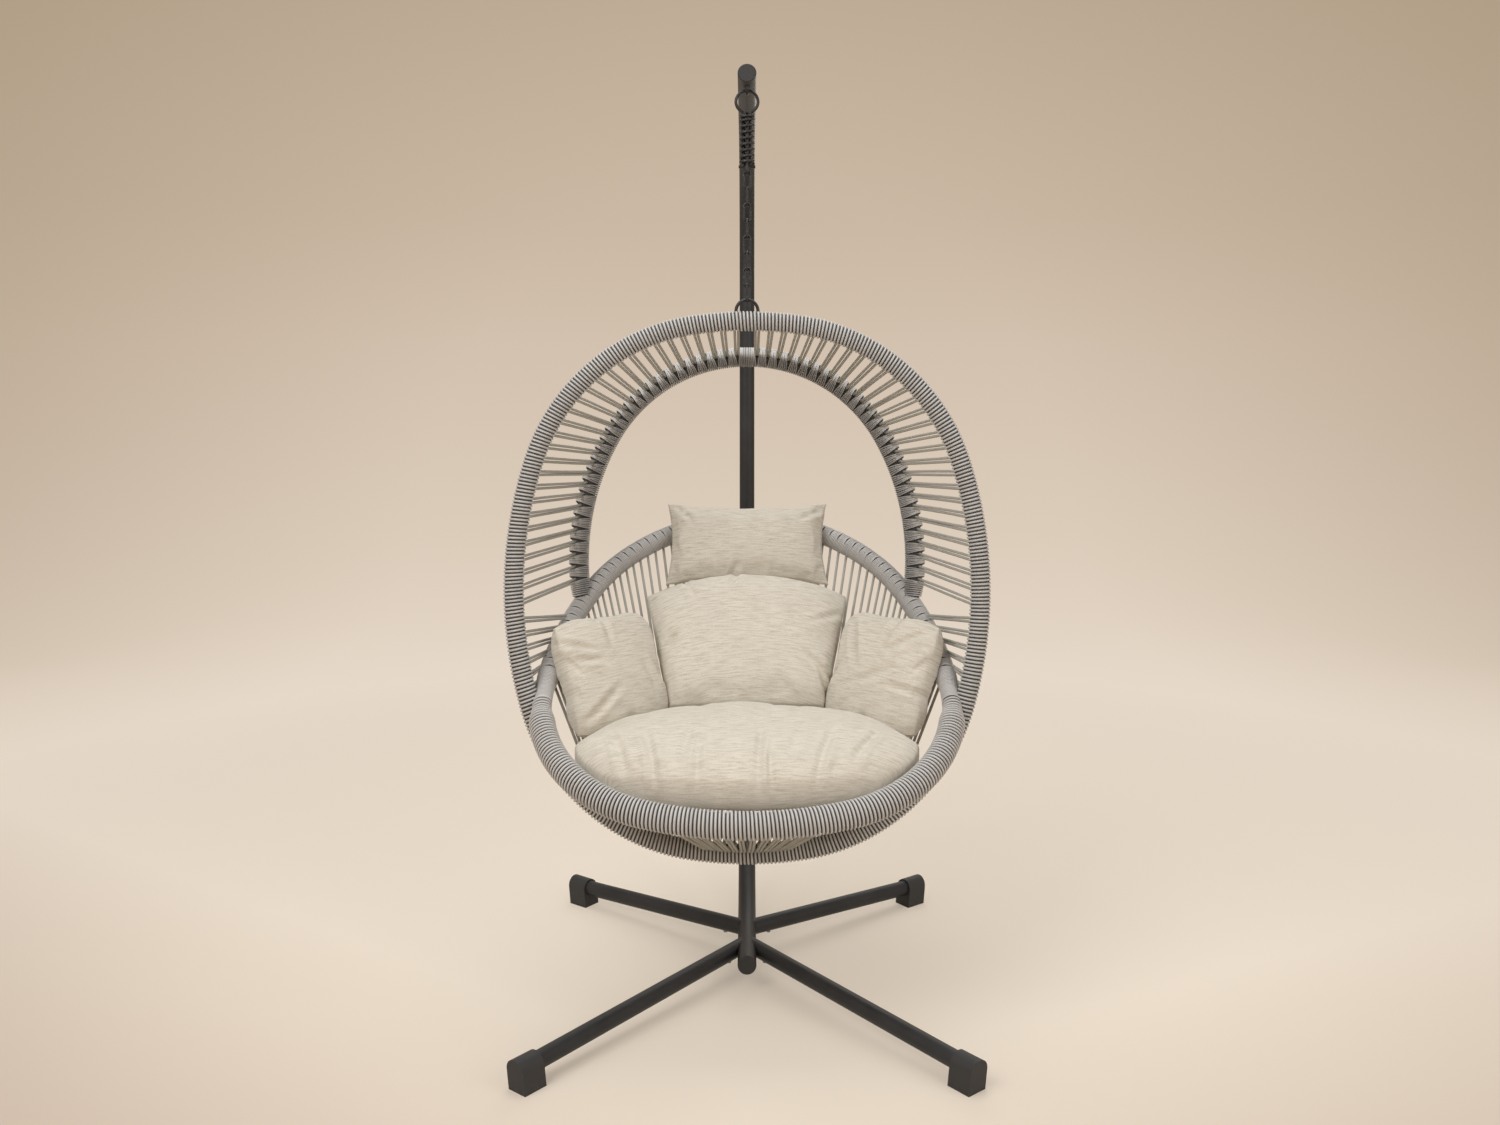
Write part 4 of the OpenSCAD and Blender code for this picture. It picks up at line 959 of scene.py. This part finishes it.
@dataclass
class Lacing:
    """The strands that span between the wrapped tubes, sunk to so far from a tube's middle, in mm."""

    layout: BasketLayout
    finish: WoundRope
    seed: int = 7
    weld_off: float = 62.0
    inner_closer: float = 0.72
    foot_closer: float = 0.78
    hood_sunk: Pair = (14.0, 15.5)
    web_sunk: Pair = (17.0, 16.0)
    front_sunk: Pair = (18.0, 14.0)

    def __post_init__(self) -> None:
        """Starts the strands' small differences from a fixed seed."""
        self.rng = np.random.default_rng(self.seed)

    def build(self) -> list[Piece]:
        """Spans all strands."""
        return [self._hood("left", -1.0), self._hood("right", 1.0), self._web(), self._front()]

    def _strand(
        self, rope: RopeMesh, start: Points, end: Points, tint: float, sunk: Pair
    ) -> None:
        """Spans one strand, nearly straight.

        Args:
            rope: The mesh that takes it.
            start: Point on the first tube's middle line.
            end: Point on the second one's.
            tint: How pale it is.
            sunk: How far from each middle line it begins and ends, in mm.
        """
        way = unit(end - start)
        a, b = start + way * sunk[0] * MM, end - way * sunk[1] * MM
        t = np.linspace(0, 1, 9)[:, None]
        side = unit(np.cross(way, [0.0, 0.0, 1.0]))
        up = np.cross(side, way)
        bow = self.rng.normal(0, 0.5, 2) * MM
        middle = a + (b - a) * t + np.sin(math.pi * t) * (bow[0] * side + bow[1] * up)
        r = self.layout.strand_d / 2 * MM
        across, outward = np.tile(side, (len(t), 1)), np.tile(-up, (len(t), 1))
        rope.tube(middle, across, outward, r, r, tint * self.rng.uniform(0.9, 1.0), even=True)

    def _hood(self, hand: str, side: float) -> Piece:
        """The pairs of one side of the hood.

        Args:
            hand: The side's name.
            side: 1 on the right, -1 on the left.

        Returns:
            The piece.
        """
        b, rope = self.layout, RopeMesh(f"hood_lacing_{hand}", sides=8)
        ring_start = b.wrap_r(b.back_rope) + 2 * b.pair_pitch
        side_step = (b.inner_foot - self.weld_off - ring_start) / b.side_pairs
        for k in range(b.hood_pairs + b.side_pairs):
            # Painted shade: the upper strand of each pair is painted darker (0.3) than the lower one
            # (0.7), as the shade on the strand behind.
            for e, tint in ((-b.pair_pitch / 2, 0.3), (b.pair_pitch / 2, 0.7)):
                start = b.outer.point(side * (b.hood_start + k * b.hood_pitch + e))
                if k < b.hood_pairs:
                    end = b.inner.point(side * (b.hood_inner_s(k) + e * self.inner_closer))
                else:
                    past = ring_start + (k - b.hood_pairs) * side_step + e
                    end = b.ring_back.point(side * (b.ring_back.length - b.inner_foot + past))
                self._strand(rope, start, end, tint, self.hood_sunk)
        return stand_in(rope.build(), self.finish, f"hood_strands_{hand}")

    def _web(self) -> Piece:
        """The fan of strands behind and under the seat."""
        b, rope = self.layout, RopeMesh("web_lacing", sides=8)
        for i in range(b.web_count):
            for side in (1.0, -1.0):
                start = b.ring_back.point(side * (i + 0.5) * b.web_pitch)
                end = b.outer.point(side * (b.outer.length - (i + 0.5) * b.web_gather))
                self._strand(rope, start, end, 0.8, self.web_sunk)
        return stand_in(rope.build(), self.finish, "web_strands")

    def _front(self) -> Piece:
        """The short pairs between the ring's front and the outer hoop's foot."""
        b, rope = self.layout, RopeMesh("front_lacing", sides=8)
        for k in range(b.front_pairs // 2):
            # Painted shade: as on the hood, the first strand of each pair is painted darker (0.45) than
            # the second (0.68).
            for e, tint in ((-b.pair_pitch / 2, 0.45), (b.pair_pitch / 2, 0.68)):
                on_ring = b.ring_front.length - (k + 0.5) * b.front_ring_pitch + e
                on_hoop = b.outer.length - (k + 0.5) * b.front_outer_pitch + e * self.foot_closer
                for side in (1.0, -1.0):
                    start, end = b.ring_front.point(side * on_ring), b.outer.point(side * on_hoop)
                    self._strand(rope, start, end, tint, self.front_sunk)
        return stand_in(rope.build(), self.finish, "front_strands")


@dataclass
class HangingGear:
    """Eye, drawbars, chain and loop: the CAD's own pieces, and a smooth spring wire; in mm."""

    finish: BarSteel
    spring_finish: BarSteel
    hang_y: float = -159.831
    coil_d: float = 34.0
    wire: float = 6.0
    length: float = 109.0
    turns: float = 9.0
    turn_steps: int = 40
    bottom_z: float = 1756.85
    stroke: float = 40.0

    def build(self) -> list[Piece]:
        """Dresses the gear and winds the spring.

        Returns:
            The pieces.
        """
        names = ["arm_eye", "upper_drawbar", "lower_drawbar", "hanging_loop"]
        kept = [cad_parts[n] for n in names + [f"chain_link_{i}" for i in range(1, 9)]]
        self.finish.put_on(*kept)
        return kept + [self._spring()]

    def _spring(self) -> Piece:
        """One wire from end to end, its first and last turns closed."""
        radius, height = (self.coil_d - self.wire) / 2, self.length - self.wire
        closed = self.wire + 0.6
        opened = (height - 2 * closed) / (self.turns - 2)
        t = np.linspace(0, self.turns, int(self.turns * self.turn_steps) + 1)
        last = height - closed * (self.turns - t)
        rising = np.where(t > self.turns - 1, last, closed + opened * (t - 1))
        z = np.where(t < 1, closed * t, rising)
        c, s = np.cos(TURN * t), np.sin(TURN * t)
        middle = np.stack([radius * c, radius * s, z], 1)
        middle += np.array([0.0, self.hang_y, self.bottom_z + self.wire / 2])
        out = np.stack([c, s, np.zeros_like(c)], 1)
        across = unit(np.cross(out, unit(np.gradient(middle, axis=0))))
        rope, half = RopeMesh("spring_wire", sides=14), self.wire / 2 * MM
        rope.tube(middle * MM, across, out, half, half, even=True)
        piece = stand_in(rope.build(), self.spring_finish, "spring", "spring")
        1 - self.stroke / self.length
        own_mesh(piece)
        return piece


@dataclass
class Stand:
    """Bow, legs, feet, caps, fasteners and the basket's tubes: the CAD's own pieces, dressed."""

    coat: PowderCoat
    plastic: MouldedPlastic
    bolts: BarSteel

    def build(self) -> list[Piece]:
        """Dresses the stand and the basket's bare tubes.

        Returns:
            The pieces.
        """
        ends = ["front_left", "front_right", "rear_left", "rear_right"]
        bars = ["lower_bow", "upper_bow", "bow_sleeve", "leg_spigots"]
        tubes = ["outer_hoop", "inner_hoop", "seat_ring"]
        done = []
        for names, finish in (
            (bars + [f"leg_{e}" for e in ends] + tubes, self.coat),
            (["base_cap", "arm_cap"] + [f"foot_{e}" for e in ends], self.plastic),
            (["bow_bolts", "leg_bolts"], self.bolts),
        ):
            pieces = [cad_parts[n] for n in names]
            finish.put_on(*pieces)
            done += pieces
        return done


# cushions


class Outline(Enum):
    """How a pillow's outline is cut."""

    OVAL = 0.85
    ROUND = 0.3
    SOFT = 0.15
    POINTED = -0.3


@dataclass(frozen=True)
class Crease:
    """A fold pressed into a cushion's upper face, in mm and degrees about its own middle."""

    x: float
    y: float
    turn: float
    length: float
    breadth: float
    depth: float

    def relief(self, co: Points) -> Points:
        """How far the fold moves each point out, in mm.

        Args:
            co: The points about the cushion's own middle.

        Returns:
            The moves.
        """
        c, s = math.cos(math.radians(self.turn)), math.sin(math.radians(self.turn))
        dx, dy = co[:, 0] - self.x, co[:, 1] - self.y
        along = dx * c + dy * s
        off = -dx * s + dy * c + 0.06 * self.length * np.sin(along / self.length * 3.0)
        share = smooth_step(1.25 - np.abs(along) / self.length * 2) * (co[:, 2] > -2)
        pressed = -np.exp(-((off / self.breadth) ** 2))
        aside = (np.abs(off) - 1.9 * self.breadth) / (0.9 * self.breadth)
        return self.depth * share * (pressed + 0.5 * np.exp(-(aside**2)))


CREASES = {
    "seat_cushion": (
        Crease(24, -98, 95, 150, 7, 6.0), Crease(46, -130, 102, 90, 6, 4.0),
        Crease(-96, -120, 99, 90, 8, 5.0), Crease(-118, -60, 92, 100, 8, 4.0),
        Crease(-188, -96, 112, 150, 8, 6.0), Crease(-252, -76, 118, 120, 8, 5.5),
        Crease(96, -70, 84, 130, 9, 3.5), Crease(152, -92, 82, 150, 8, 5.5),
        Crease(236, -66, 68, 130, 8, 6.0), Crease(-20, 30, 86, 130, 12, 3.0),
    ),
    "back_cushion": (
        Crease(-30, 140, 80, 60, 7, 5.0), Crease(-130, 112, 125, 80, 7, 4.5),
        Crease(176, 40, 30, 90, 7, 4.5), Crease(150, -70, 148, 110, 7, 6.0),
        Crease(168, -110, 120, 70, 6, 5.0), Crease(-168, -20, 60, 80, 8, 4.0),
    ),
    "head_cushion": (
        Crease(-30, -74, 70, 60, 7, 4.0), Crease(60, -80, 100, 50, 7, 3.5),
        Crease(-150, 70, 140, 70, 7, 4.0), Crease(150, 66, 40, 70, 7, 4.0),
    ),
    "arm_cushion_right": (
        Crease(66, 74, 48, 100, 7, 6.0), Crease(20, 92, 80, 80, 7, 4.5),
        Crease(-66, 52, 122, 120, 8, 5.0), Crease(84, -30, 5, 90, 7, 4.5),
        Crease(10, -10, 35, 130, 10, 4.0),
    ),
    "arm_cushion_left": (
        Crease(84, 62, 35, 100, 7, 6.0), Crease(70, 30, 15, 80, 7, 5.0),
        Crease(10, 92, 100, 70, 7, 4.0), Crease(56, -62, 335, 120, 8, 5.0),
        Crease(-70, -20, 80, 90, 9, 3.5),
    ),
}


@dataclass
class Cushion:
    """One stuffed cushion: a crowned form blown up as cloth, which moves no further than its cap."""

    name: str
    node: str
    width: float
    height: float
    thickness: float
    outline: Outline
    place: Matrix
    puff: float = 0.3
    flare: float = 0.0
    arch: float = 0.0
    droop: float = 0.0
    crown: float = 0.0
    cap: float = 10.0
    seed: int = 1
    pressure: float = 4.0
    cell: float = 7.0

    def _spacing(self, length: float) -> Points:
        """Places of the rows over one side, -1 to 1, closer together near the seam.

        Args:
            length: The side in mm.

        Returns:
            The places.
        """
        n = 2 * round(length / self.cell / 2)
        t = 2 * np.arange(n + 1) / n - 1
        at = 0.55 * t + 0.45 * np.sin(math.pi / 2 * t)
        return at / at[-1]

    def form(self) -> Piece:
        """Shapes the cushion a little smaller than it ends up.

        Returns:
            The object about its own middle, in metres.
        """
        p, q = np.meshgrid(self._spacing(self.width), self._spacing(self.height), indexing="ij")
        bow = self.outline.value
        shrink = math.sqrt(1 - bow / 2) if bow < 0 else 1.0
        x = self.width / 2 / shrink * p * np.sqrt(1 - bow * q * q / 2) * (1 + self.flare * q)
        y = self.height / 2 / shrink * q * np.sqrt(1 - bow * p * p / 2)
        y = y - self.arch * p * p * (0.5 + 0.5 * q)
        puff = self.puff + (0.4 - self.puff) * smooth_step((q + 0.2) / 0.5) * (self.droop > 0)
        z = self.thickness / 2 * np.maximum((1 - p * p) * (1 - q * q), 0.0) ** puff
        sunk = -self.droop * smooth_step(-q / 1.2) * (1 - 0.4 * p * p)
        sunk = sunk + self.crown * smooth_step((q + 0.4) / 1.2) * (1 - p * p)
        small, flat = ((0.975, 0.9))
        rim = (np.abs(p) > 0.999) | (np.abs(q) > 0.999)
        upper = np.stack([x * small, y * small, z * flat + sunk], -1)
        lower = np.stack([x * small, y * small, sunk * (1 - z / z.max()) - z * flat], -1)[~rim]
        number = np.arange(p.size).reshape(p.shape)
        under = number.copy()
        under[~rim] = p.size + np.arange(len(lower))

        def quads(grid: Points, step: int) -> Points:
            """The faces of one panel; step -1 turns them over."""
            cells = [grid[:-1, :-1], grid[1:, :-1], grid[1:, 1:], grid[:-1, 1:]]
            return np.stack(cells[::step], -1).reshape(-1, 4)

        faces = np.concatenate([quads(number, 1), quads(under, -1)])
        laid = np.stack([self._unrolled(upper, 0), self._unrolled(upper, 1)], -1)
        laid = np.concatenate([laid.reshape(-1, 2), laid[~rim]])[faces.ravel()] * MM
        points = np.concatenate([upper.reshape(-1, 3), lower]) * MM
        piece = linked(self.name, new_mesh(self.name, points, faces, laid))
        tight = piece.vertex_groups.new(name="seam")
        tight.add(np.nonzero(rim.ravel())[0].tolist(), 1.0, "REPLACE")
        return piece

    @staticmethod
    def _unrolled(panel: Points, axis: int) -> Points:
        """How far each point is from the panel's middle line, measured over the cloth.

        Args:
            panel: The panel's grid of points.
            axis: The grid's direction that is followed.

        Returns:
            The distances in mm.
        """
        steps = np.linalg.norm(np.diff(panel, axis=axis), axis=-1)
        far = np.insert(np.cumsum(steps, axis=axis), 0, 0.0, axis=axis)
        return far - np.take(far, [far.shape[axis] // 2], axis=axis)

    def stuff(self, piece: Piece) -> None:
        """Adds the cloth that blows the cushion up, its seam sewn tighter than its panels.

        Args:
            piece: The cushion's form.
        """
        s = piece.modifiers.new("stuffing", "CLOTH").settings
        s.quality = 6
        s.mass = 0.2
        s.air_damping = 1.5
        s.tension_stiffness = s.compression_stiffness = 22
        s.shear_stiffness = 8
        s.bending_stiffness = 0.06
        s.vertex_group_shrink = "seam"
        s.shrink_min, s.shrink_max = -0.05, 0.03
        s.use_pressure = True
        s.uniform_pressure_force = self.pressure
        s.effector_weights.gravity = 0.0

    def settle(self, piece: Piece) -> None:
        """Takes the cloth's shape within the cap, presses the creases and puts the cushion in place.

        Args:
            piece: The cushion with or without its cloth.
        """
        start = self._points(piece.data)
        graph = bpy.context.evaluated_depsgraph_get()
        move = self._points(piece.evaluated_get(graph).data) - start
        piece.modifiers.clear()
        far = np.linalg.norm(move, axis=1, keepdims=True)
        co = start + move * np.tanh(far / self.cap) * self.cap / np.maximum(far, 1e-9)
        size = np.array([self.width * (1 + self.flare), self.height, self.thickness])
        low, high = co.min(0), co.max(0)
        co = (co - (low + high) / 2) * np.minimum(size / (high - low), 1.06)
        piece.data.vertices.foreach_set("co", (co * MM).astype(np.float32).ravel())
        piece.data.update()
        smooth = piece.modifiers.new("fullness", "SUBSURF")
        smooth.levels = smooth.render_levels = 1
        graph.update()
        piece.data = mesh = bpy.data.meshes.new_from_object(piece.evaluated_get(graph))
        piece.modifiers.clear()
        co = self._points(mesh)
        low, high = co.min(0), co.max(0)
        normals = np.zeros(co.size)
        mesh.vertices.foreach_get("normal", normals)
        co = co + normals.reshape(-1, 3) * self._relief(co)[:, None]
        placed = np.array(self.place)
        world = np.clip(co, low - 0.5, high + 0.5) @ placed[:3, :3].T + placed[:3, 3]
        mesh.vertices.foreach_set("co", (world * MM).astype(np.float32).ravel())
        if np.linalg.det(placed[:3, :3]) < 0:
            mesh.flip_normals()
        mesh.update()

    @staticmethod
    def _points(mesh: bpy.types.Mesh) -> Points:
        """A mesh's points in mm."""
        co = np.zeros(len(mesh.vertices) * 3)
        mesh.vertices.foreach_get("co", co)
        return co.reshape(-1, 3) / MM

    def _relief(self, co: Points) -> Points:
        """How far lumps and creases move each point out, in mm.

        Args:
            co: The points about the cushion's own middle.

        Returns:
            The moves.
        """
        slow = (Vector((x * 0.011, y * 0.011, self.seed * 7.7 + z * 0.01)) for x, y, z in co)
        quick = (Vector((x * 0.04, y * 0.04, self.seed * 3.1)) for x, y, _ in co)
        move = np.array([1.3 * noise.noise(a) + 0.5 * noise.noise(b) for a, b in zip(slow, quick)])
        return sum((c.relief(co) for c in CREASES[self.node]), move)


@dataclass
class Cushions:
    """The seat, back, head and arm cushions; in mm."""

    layout: BasketLayout
    finish: SlubLinen
    frames: int = 22
    seat_deep: float = 330.0
    seat_thick: float = 158.0
    seat_sunk: float = 4.0
    arm_down: float = 266.0
    arm_share: float = 0.352
    arm_off: float = 84 / 2 + 21.5
    gap: float = 1.0

    def build(self) -> list[Piece]:
        """Sews, stuffs and places the five cushions.

        Returns:
            Their pieces.
        """
        cushions = self._cut()
        pieces = [c.form() for c in cushions]
        for cushion, piece in zip(cushions, pieces):
            cushion.stuff(piece)
        for step in range(1, self.frames + 1):
            bpy.context.scene.frame_set(step)
        for cushion, piece in zip(cushions, pieces):
            cushion.settle(piece)
            stand_in(piece, self.finish, cushion.node)
        bpy.context.scene.frame_set(1)
        return pieces

    def _arm(self) -> Matrix:
        """The right arm cushion's place, against the strands of the web."""
        b = self.layout
        s = b.ring_back.length - self.arm_down
        top, along, _, _ = b.ring_back.at(s)
        foot = b.outer.point(b.outer.length - (s / b.web_pitch) * b.web_gather)
        down = (foot - top[0]) / MM
        inward = -unit(np.cross(along[0], down))
        at = top[0] / MM + self.arm_share * down + self.arm_off * inward
        return Matrix.Translation(Vector(at)) @ turned(z=-40) @ turned(x=65)

    def _cut(self) -> list[Cushion]:
        """The five cushions' sizes and places.

        Returns:
            The cushions, still to be sewn.
        """
        b = self.layout
        front, foot = (line.point(line.length) / MM for line in (b.ring_front, b.outer))
        top = b.ring_back.point(0.0) / MM
        web = unit(top - foot)
        slope = math.degrees(math.atan2(web[2], web[1]))
        over = np.array([0.0, -web[2], web[1]])

        def on_web(below: float, height: float, lean: float) -> Matrix:
            """A place over the web's middle line, leaning that much more than the web."""
            at = top - below * web + (height + b.strand_d / 2) * over
            return Matrix.Translation(Vector(at)) @ turned(x=slope + lean)

        deep = b.wrap_r(b.front_rope) + self.seat_deep / 2 - self.seat_sunk
        seat_at = front + np.array([0.0, deep, self.seat_thick / 2 + self.gap])
        seat = Matrix.Translation(Vector(seat_at)) @ turned(x=6)
        arm, mirror = self._arm(), Matrix.Diagonal((-1.0, 1.0, 1.0, 1.0))
        arm_cut = (252, 258, 98, Outline.ROUND)
        return [
            Cushion(
                "seat_pillow", "seat_cushion", 698, 332, 158, Outline.OVAL, seat,
                puff=0.24, droop=25.0, crown=21.0,
            ),
            Cushion(
                "back_pillow", "back_cushion", 412, 334, 110, Outline.SOFT,
                on_web(359, 110 / 2 + self.gap, 3), flare=0.14, arch=46.0, seed=2,
            ),
            Cushion(
                "head_pillow", "head_cushion", 388, 204, 82, Outline.POINTED,
                on_web(98, 80 / 2 + 6, 14), puff=0.38, cap=8.0, seed=3,
            ),
            Cushion("arm_pillow_right", "arm_cushion_right", *arm_cut, arm, seed=4),
            Cushion("arm_pillow_left", "arm_cushion_left", *arm_cut, mirror @ arm, seed=5),
        ]


# studio


@dataclass(frozen=True)
class PaintedLightBackdrop(Finish):
    """The backdrop: pale floor to tan wall, with the studio light's falloff painted in, darker up the
    wall, towards the front sides and at the back.
    """

    name: str = "backdrop_painted_light"
    floor: Colour = from_screen(236, 224, 208)
    foot: Colour = from_screen(230, 216, 200)
    wall: Colour = from_screen(206, 188, 168)
    top: Colour = from_screen(190, 172, 150)
    corner: Colour = from_screen(204, 187, 170)
    dusk: Colour = from_screen(170, 150, 126)

    def paint(self, bench: Bench) -> None:
        """Builds the painted light: lit near the object, and further away a glow of its written colour
        that stands in for the lamps' light.
        """
        x = bench.axes(bench.own_place())
        y, z = x.output("Y"), x.output("Z")
        away = (x * x + y * y) ** 0.5
        aside = x.size()
        near = bench.spread(0.6 * aside - 0.12 * x - y, 0.6, 1.7)
        far = bench.spread(aside * aside + (z - 0.6) * (z - 0.6), 4.0, 34.0)
        # Painted light falloff: from the floor's tone it darkens away from the chair, up the wall,
        # towards the front sides and at the far back.
        tone = self.floor
        for share, colour in (
            (bench.spread(away, 0.6, 3.2), self.foot),
            (bench.spread(away + 1.2 * z, 3.2, 9.0), self.wall),
            (bench.spread(z, 1.5, 5.0), self.top),
            (near, self.corner),
            (far * bench.spread(y, 0.5, 3.0), self.dusk),
        ):
            tone = bench.blend(share, tone, colour)
        plain = {"Base Color": tone, "Roughness": 0.9, "Specular IOR Level": 0.1}
        lit = bench.node("ShaderNodeBsdfPrincipled", {}, plain)
        # Painted light: to camera, glossy and transmission rays the backdrop glows in its painted tone,
        # 35% near the chair and wholly from 3 m out.
        seen = bench.node("ShaderNodeEmission", {}, {"Color": tone, "Strength": 1.0})
        ray = bench.node("ShaderNodeLightPath", {}, {}, "Is Camera Ray")
        ray = (ray + ray.output("Is Glossy Ray") + ray.output("Is Transmission Ray")).at_most(1.0)
        share = bench.spread(away, 0.9, 3.0, 0.35, 1.0) * ray
        bench.finish(bench.node("ShaderNodeMixShader", {}, {0: share, 1: lit, 2: seen}))


@dataclass(frozen=True)
class Lamp:
    """A soft box: its place, what it faces, its sides and its power."""

    name: str
    place: Triple
    aim: Triple
    size: Pair
    power: float
    colour: Colour = (1.0, 0.995, 0.985)

    def hang(self) -> None:
        """Puts the lamp in the scene."""
        data = bpy.data.lights.new(self.name, "AREA")
        data.shape = "RECTANGLE"
        data.size, data.size_y = self.size
        data.energy, data.color = self.power, self.colour
        lamp = linked(self.name, data)
        lamp.location = self.place
        lamp.rotation_mode = "QUATERNION"
        way = Vector(self.aim) - Vector(self.place)
        lamp.rotation_quaternion = way.to_track_quat("-Z", "Y")


@dataclass
class Studio:
    """Floor, backdrop, lamps and camera; in metres, and the lens in mm."""

    paint: PaintedLightBackdrop
    lamps: tuple[Lamp, ...] = (
        Lamp("key_box", (-2.0, -2.6, 3.4), (0.0, -0.1, 0.9), (2.4, 2.4), 95.0),
        Lamp("fill_box", (2.6, -2.4, 2.2), (0.0, 0.0, 0.8), (2.2, 2.2), 42.0),
        Lamp("top_box", (0.0, 0.4, 4.2), (0.0, 0.0, 0.4), (2.6, 2.6), 60.0),
        Lamp("back_box", (0.6, 3.0, 2.6), (0.0, 0.2, 1.0), (2.2, 1.4), 22.0),
    )
    sky: Colour = (0.97, 0.985, 1.0)
    sky_strength: float = 0.42
    sensor: float = 36.0
    lens: float = 32.52
    shift: Pair = (0.002, -0.1283)
    eye: Triple = (0.0, -3.0698, 1.317)
    floor_r: float = 6.2
    bend: float = 1.8
    wall_tall: float = 7.0
    floor_sides: int = 96

    def camera(self) -> None:
        """Puts the camera level in front, its view moved down to frame the stand."""
        data = bpy.data.cameras.new("view_camera")
        data.sensor_width, data.lens = self.sensor, self.lens
        data.shift_x, data.shift_y = self.shift
        camera = linked("view_camera", data)
        camera.location = self.eye
        camera.rotation_euler = (math.radians(90), 0.0, 0.0)
        bpy.context.scene.camera = camera

    def build(self) -> Piece:
        """Sets up the floor, the wall round it, the lamps and the sky.

        Returns:
            The floor and wall, one piece.
        """
        floor = self._bowl()
        self.paint.put_on(floor)
        for lamp in self.lamps:
            lamp.hang()
        world = bpy.data.worlds.new("studio_sky")
        world.use_nodes = True
        bench = Bench(world.node_tree)
        sockets = {"Color": self.sky, "Strength": self.sky_strength}
        light = bench.node("ShaderNodeBackground", {}, sockets)
        bench.node("ShaderNodeOutputWorld", {}, {"Surface": light})
        bpy.context.scene.world = world
        bpy.context.scene.view_settings.view_transform = "Standard"
        return floor

    def _bowl(self) -> Piece:
        """A round floor that curves up into a wall.

        Returns:
            The object.
        """
        flat_r = self.floor_r - self.bend
        flat = [(r, 0.0) for r in (0.02, 0.5, 1.0, 1.8, 2.6, 3.4, flat_r)]
        curve = [
            (flat_r + self.bend * math.sin(a), self.bend - self.bend * math.cos(a))
            for a in np.radians(np.arange(9, 91, 9))
        ]
        wall = [(self.floor_r, z) for z in (3.0, 5.0, self.wall_tall)]
        r, z = np.array(flat + curve + wall).T[:, :, None]
        j = np.arange(self.floor_sides)[None, :]
        a = j / self.floor_sides * TURN
        points = np.stack([r * np.cos(a), r * np.sin(a), z + 0 * a], -1).reshape(-1, 3)
        i = np.arange(len(r) - 1)[:, None] * self.floor_sides
        k, up = (j + 1) % self.floor_sides, i + self.floor_sides
        quads = np.stack([i + j, up + j, up + k, i + k], -1).reshape(-1, 4)
        mesh = new_mesh("studio_floor", points, quads, points[quads.ravel(), :2])
        bowl = linked("studio_floor", mesh)
        bowl.visible_shadow = False
        return bowl


def main() -> None:
    """Builds the chair's looks in order and writes down how large they are."""
    logging.basicConfig(level=logging.INFO, format="%(name)s: %(message)s")
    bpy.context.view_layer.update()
    layout, studio = BasketLayout(), Studio(PaintedLightBackdrop())
    studio.camera()
    wound = WoundRope("wound_rope")
    fine = WoundRope("fine_rope", (0.74, 0.73, 0.71), (0.12, 0.118, 0.112), 0.7)
    strand = WoundRope("strand_rope", (0.39, 0.385, 0.36), plait=500.0)
    spring = BarSteel("spring_steel", (0.03, 0.03, 0.032), (0.26, 0.25, 0.24), 0.25)
    bolts = BarSteel("bolt_steel", (0.05, 0.05, 0.052))
    parts = [
        ("stand", Stand(PowderCoat(), MouldedPlastic(), bolts)),
        ("hanging gear", HangingGear(BarSteel(), spring)),
        ("wraps", BasketWraps(layout, wound, fine)),
        ("lacing", Lacing(layout, strand)),
        ("cushions", Cushions(layout, SlubLinen())),
    ]
    for name, part in parts:
        for piece in part.build():
            LOG.info("%s: %s, %d points", name, piece.name, len(piece.data.vertices))
    studio.build()


if __name__ == "__main__":
    main()
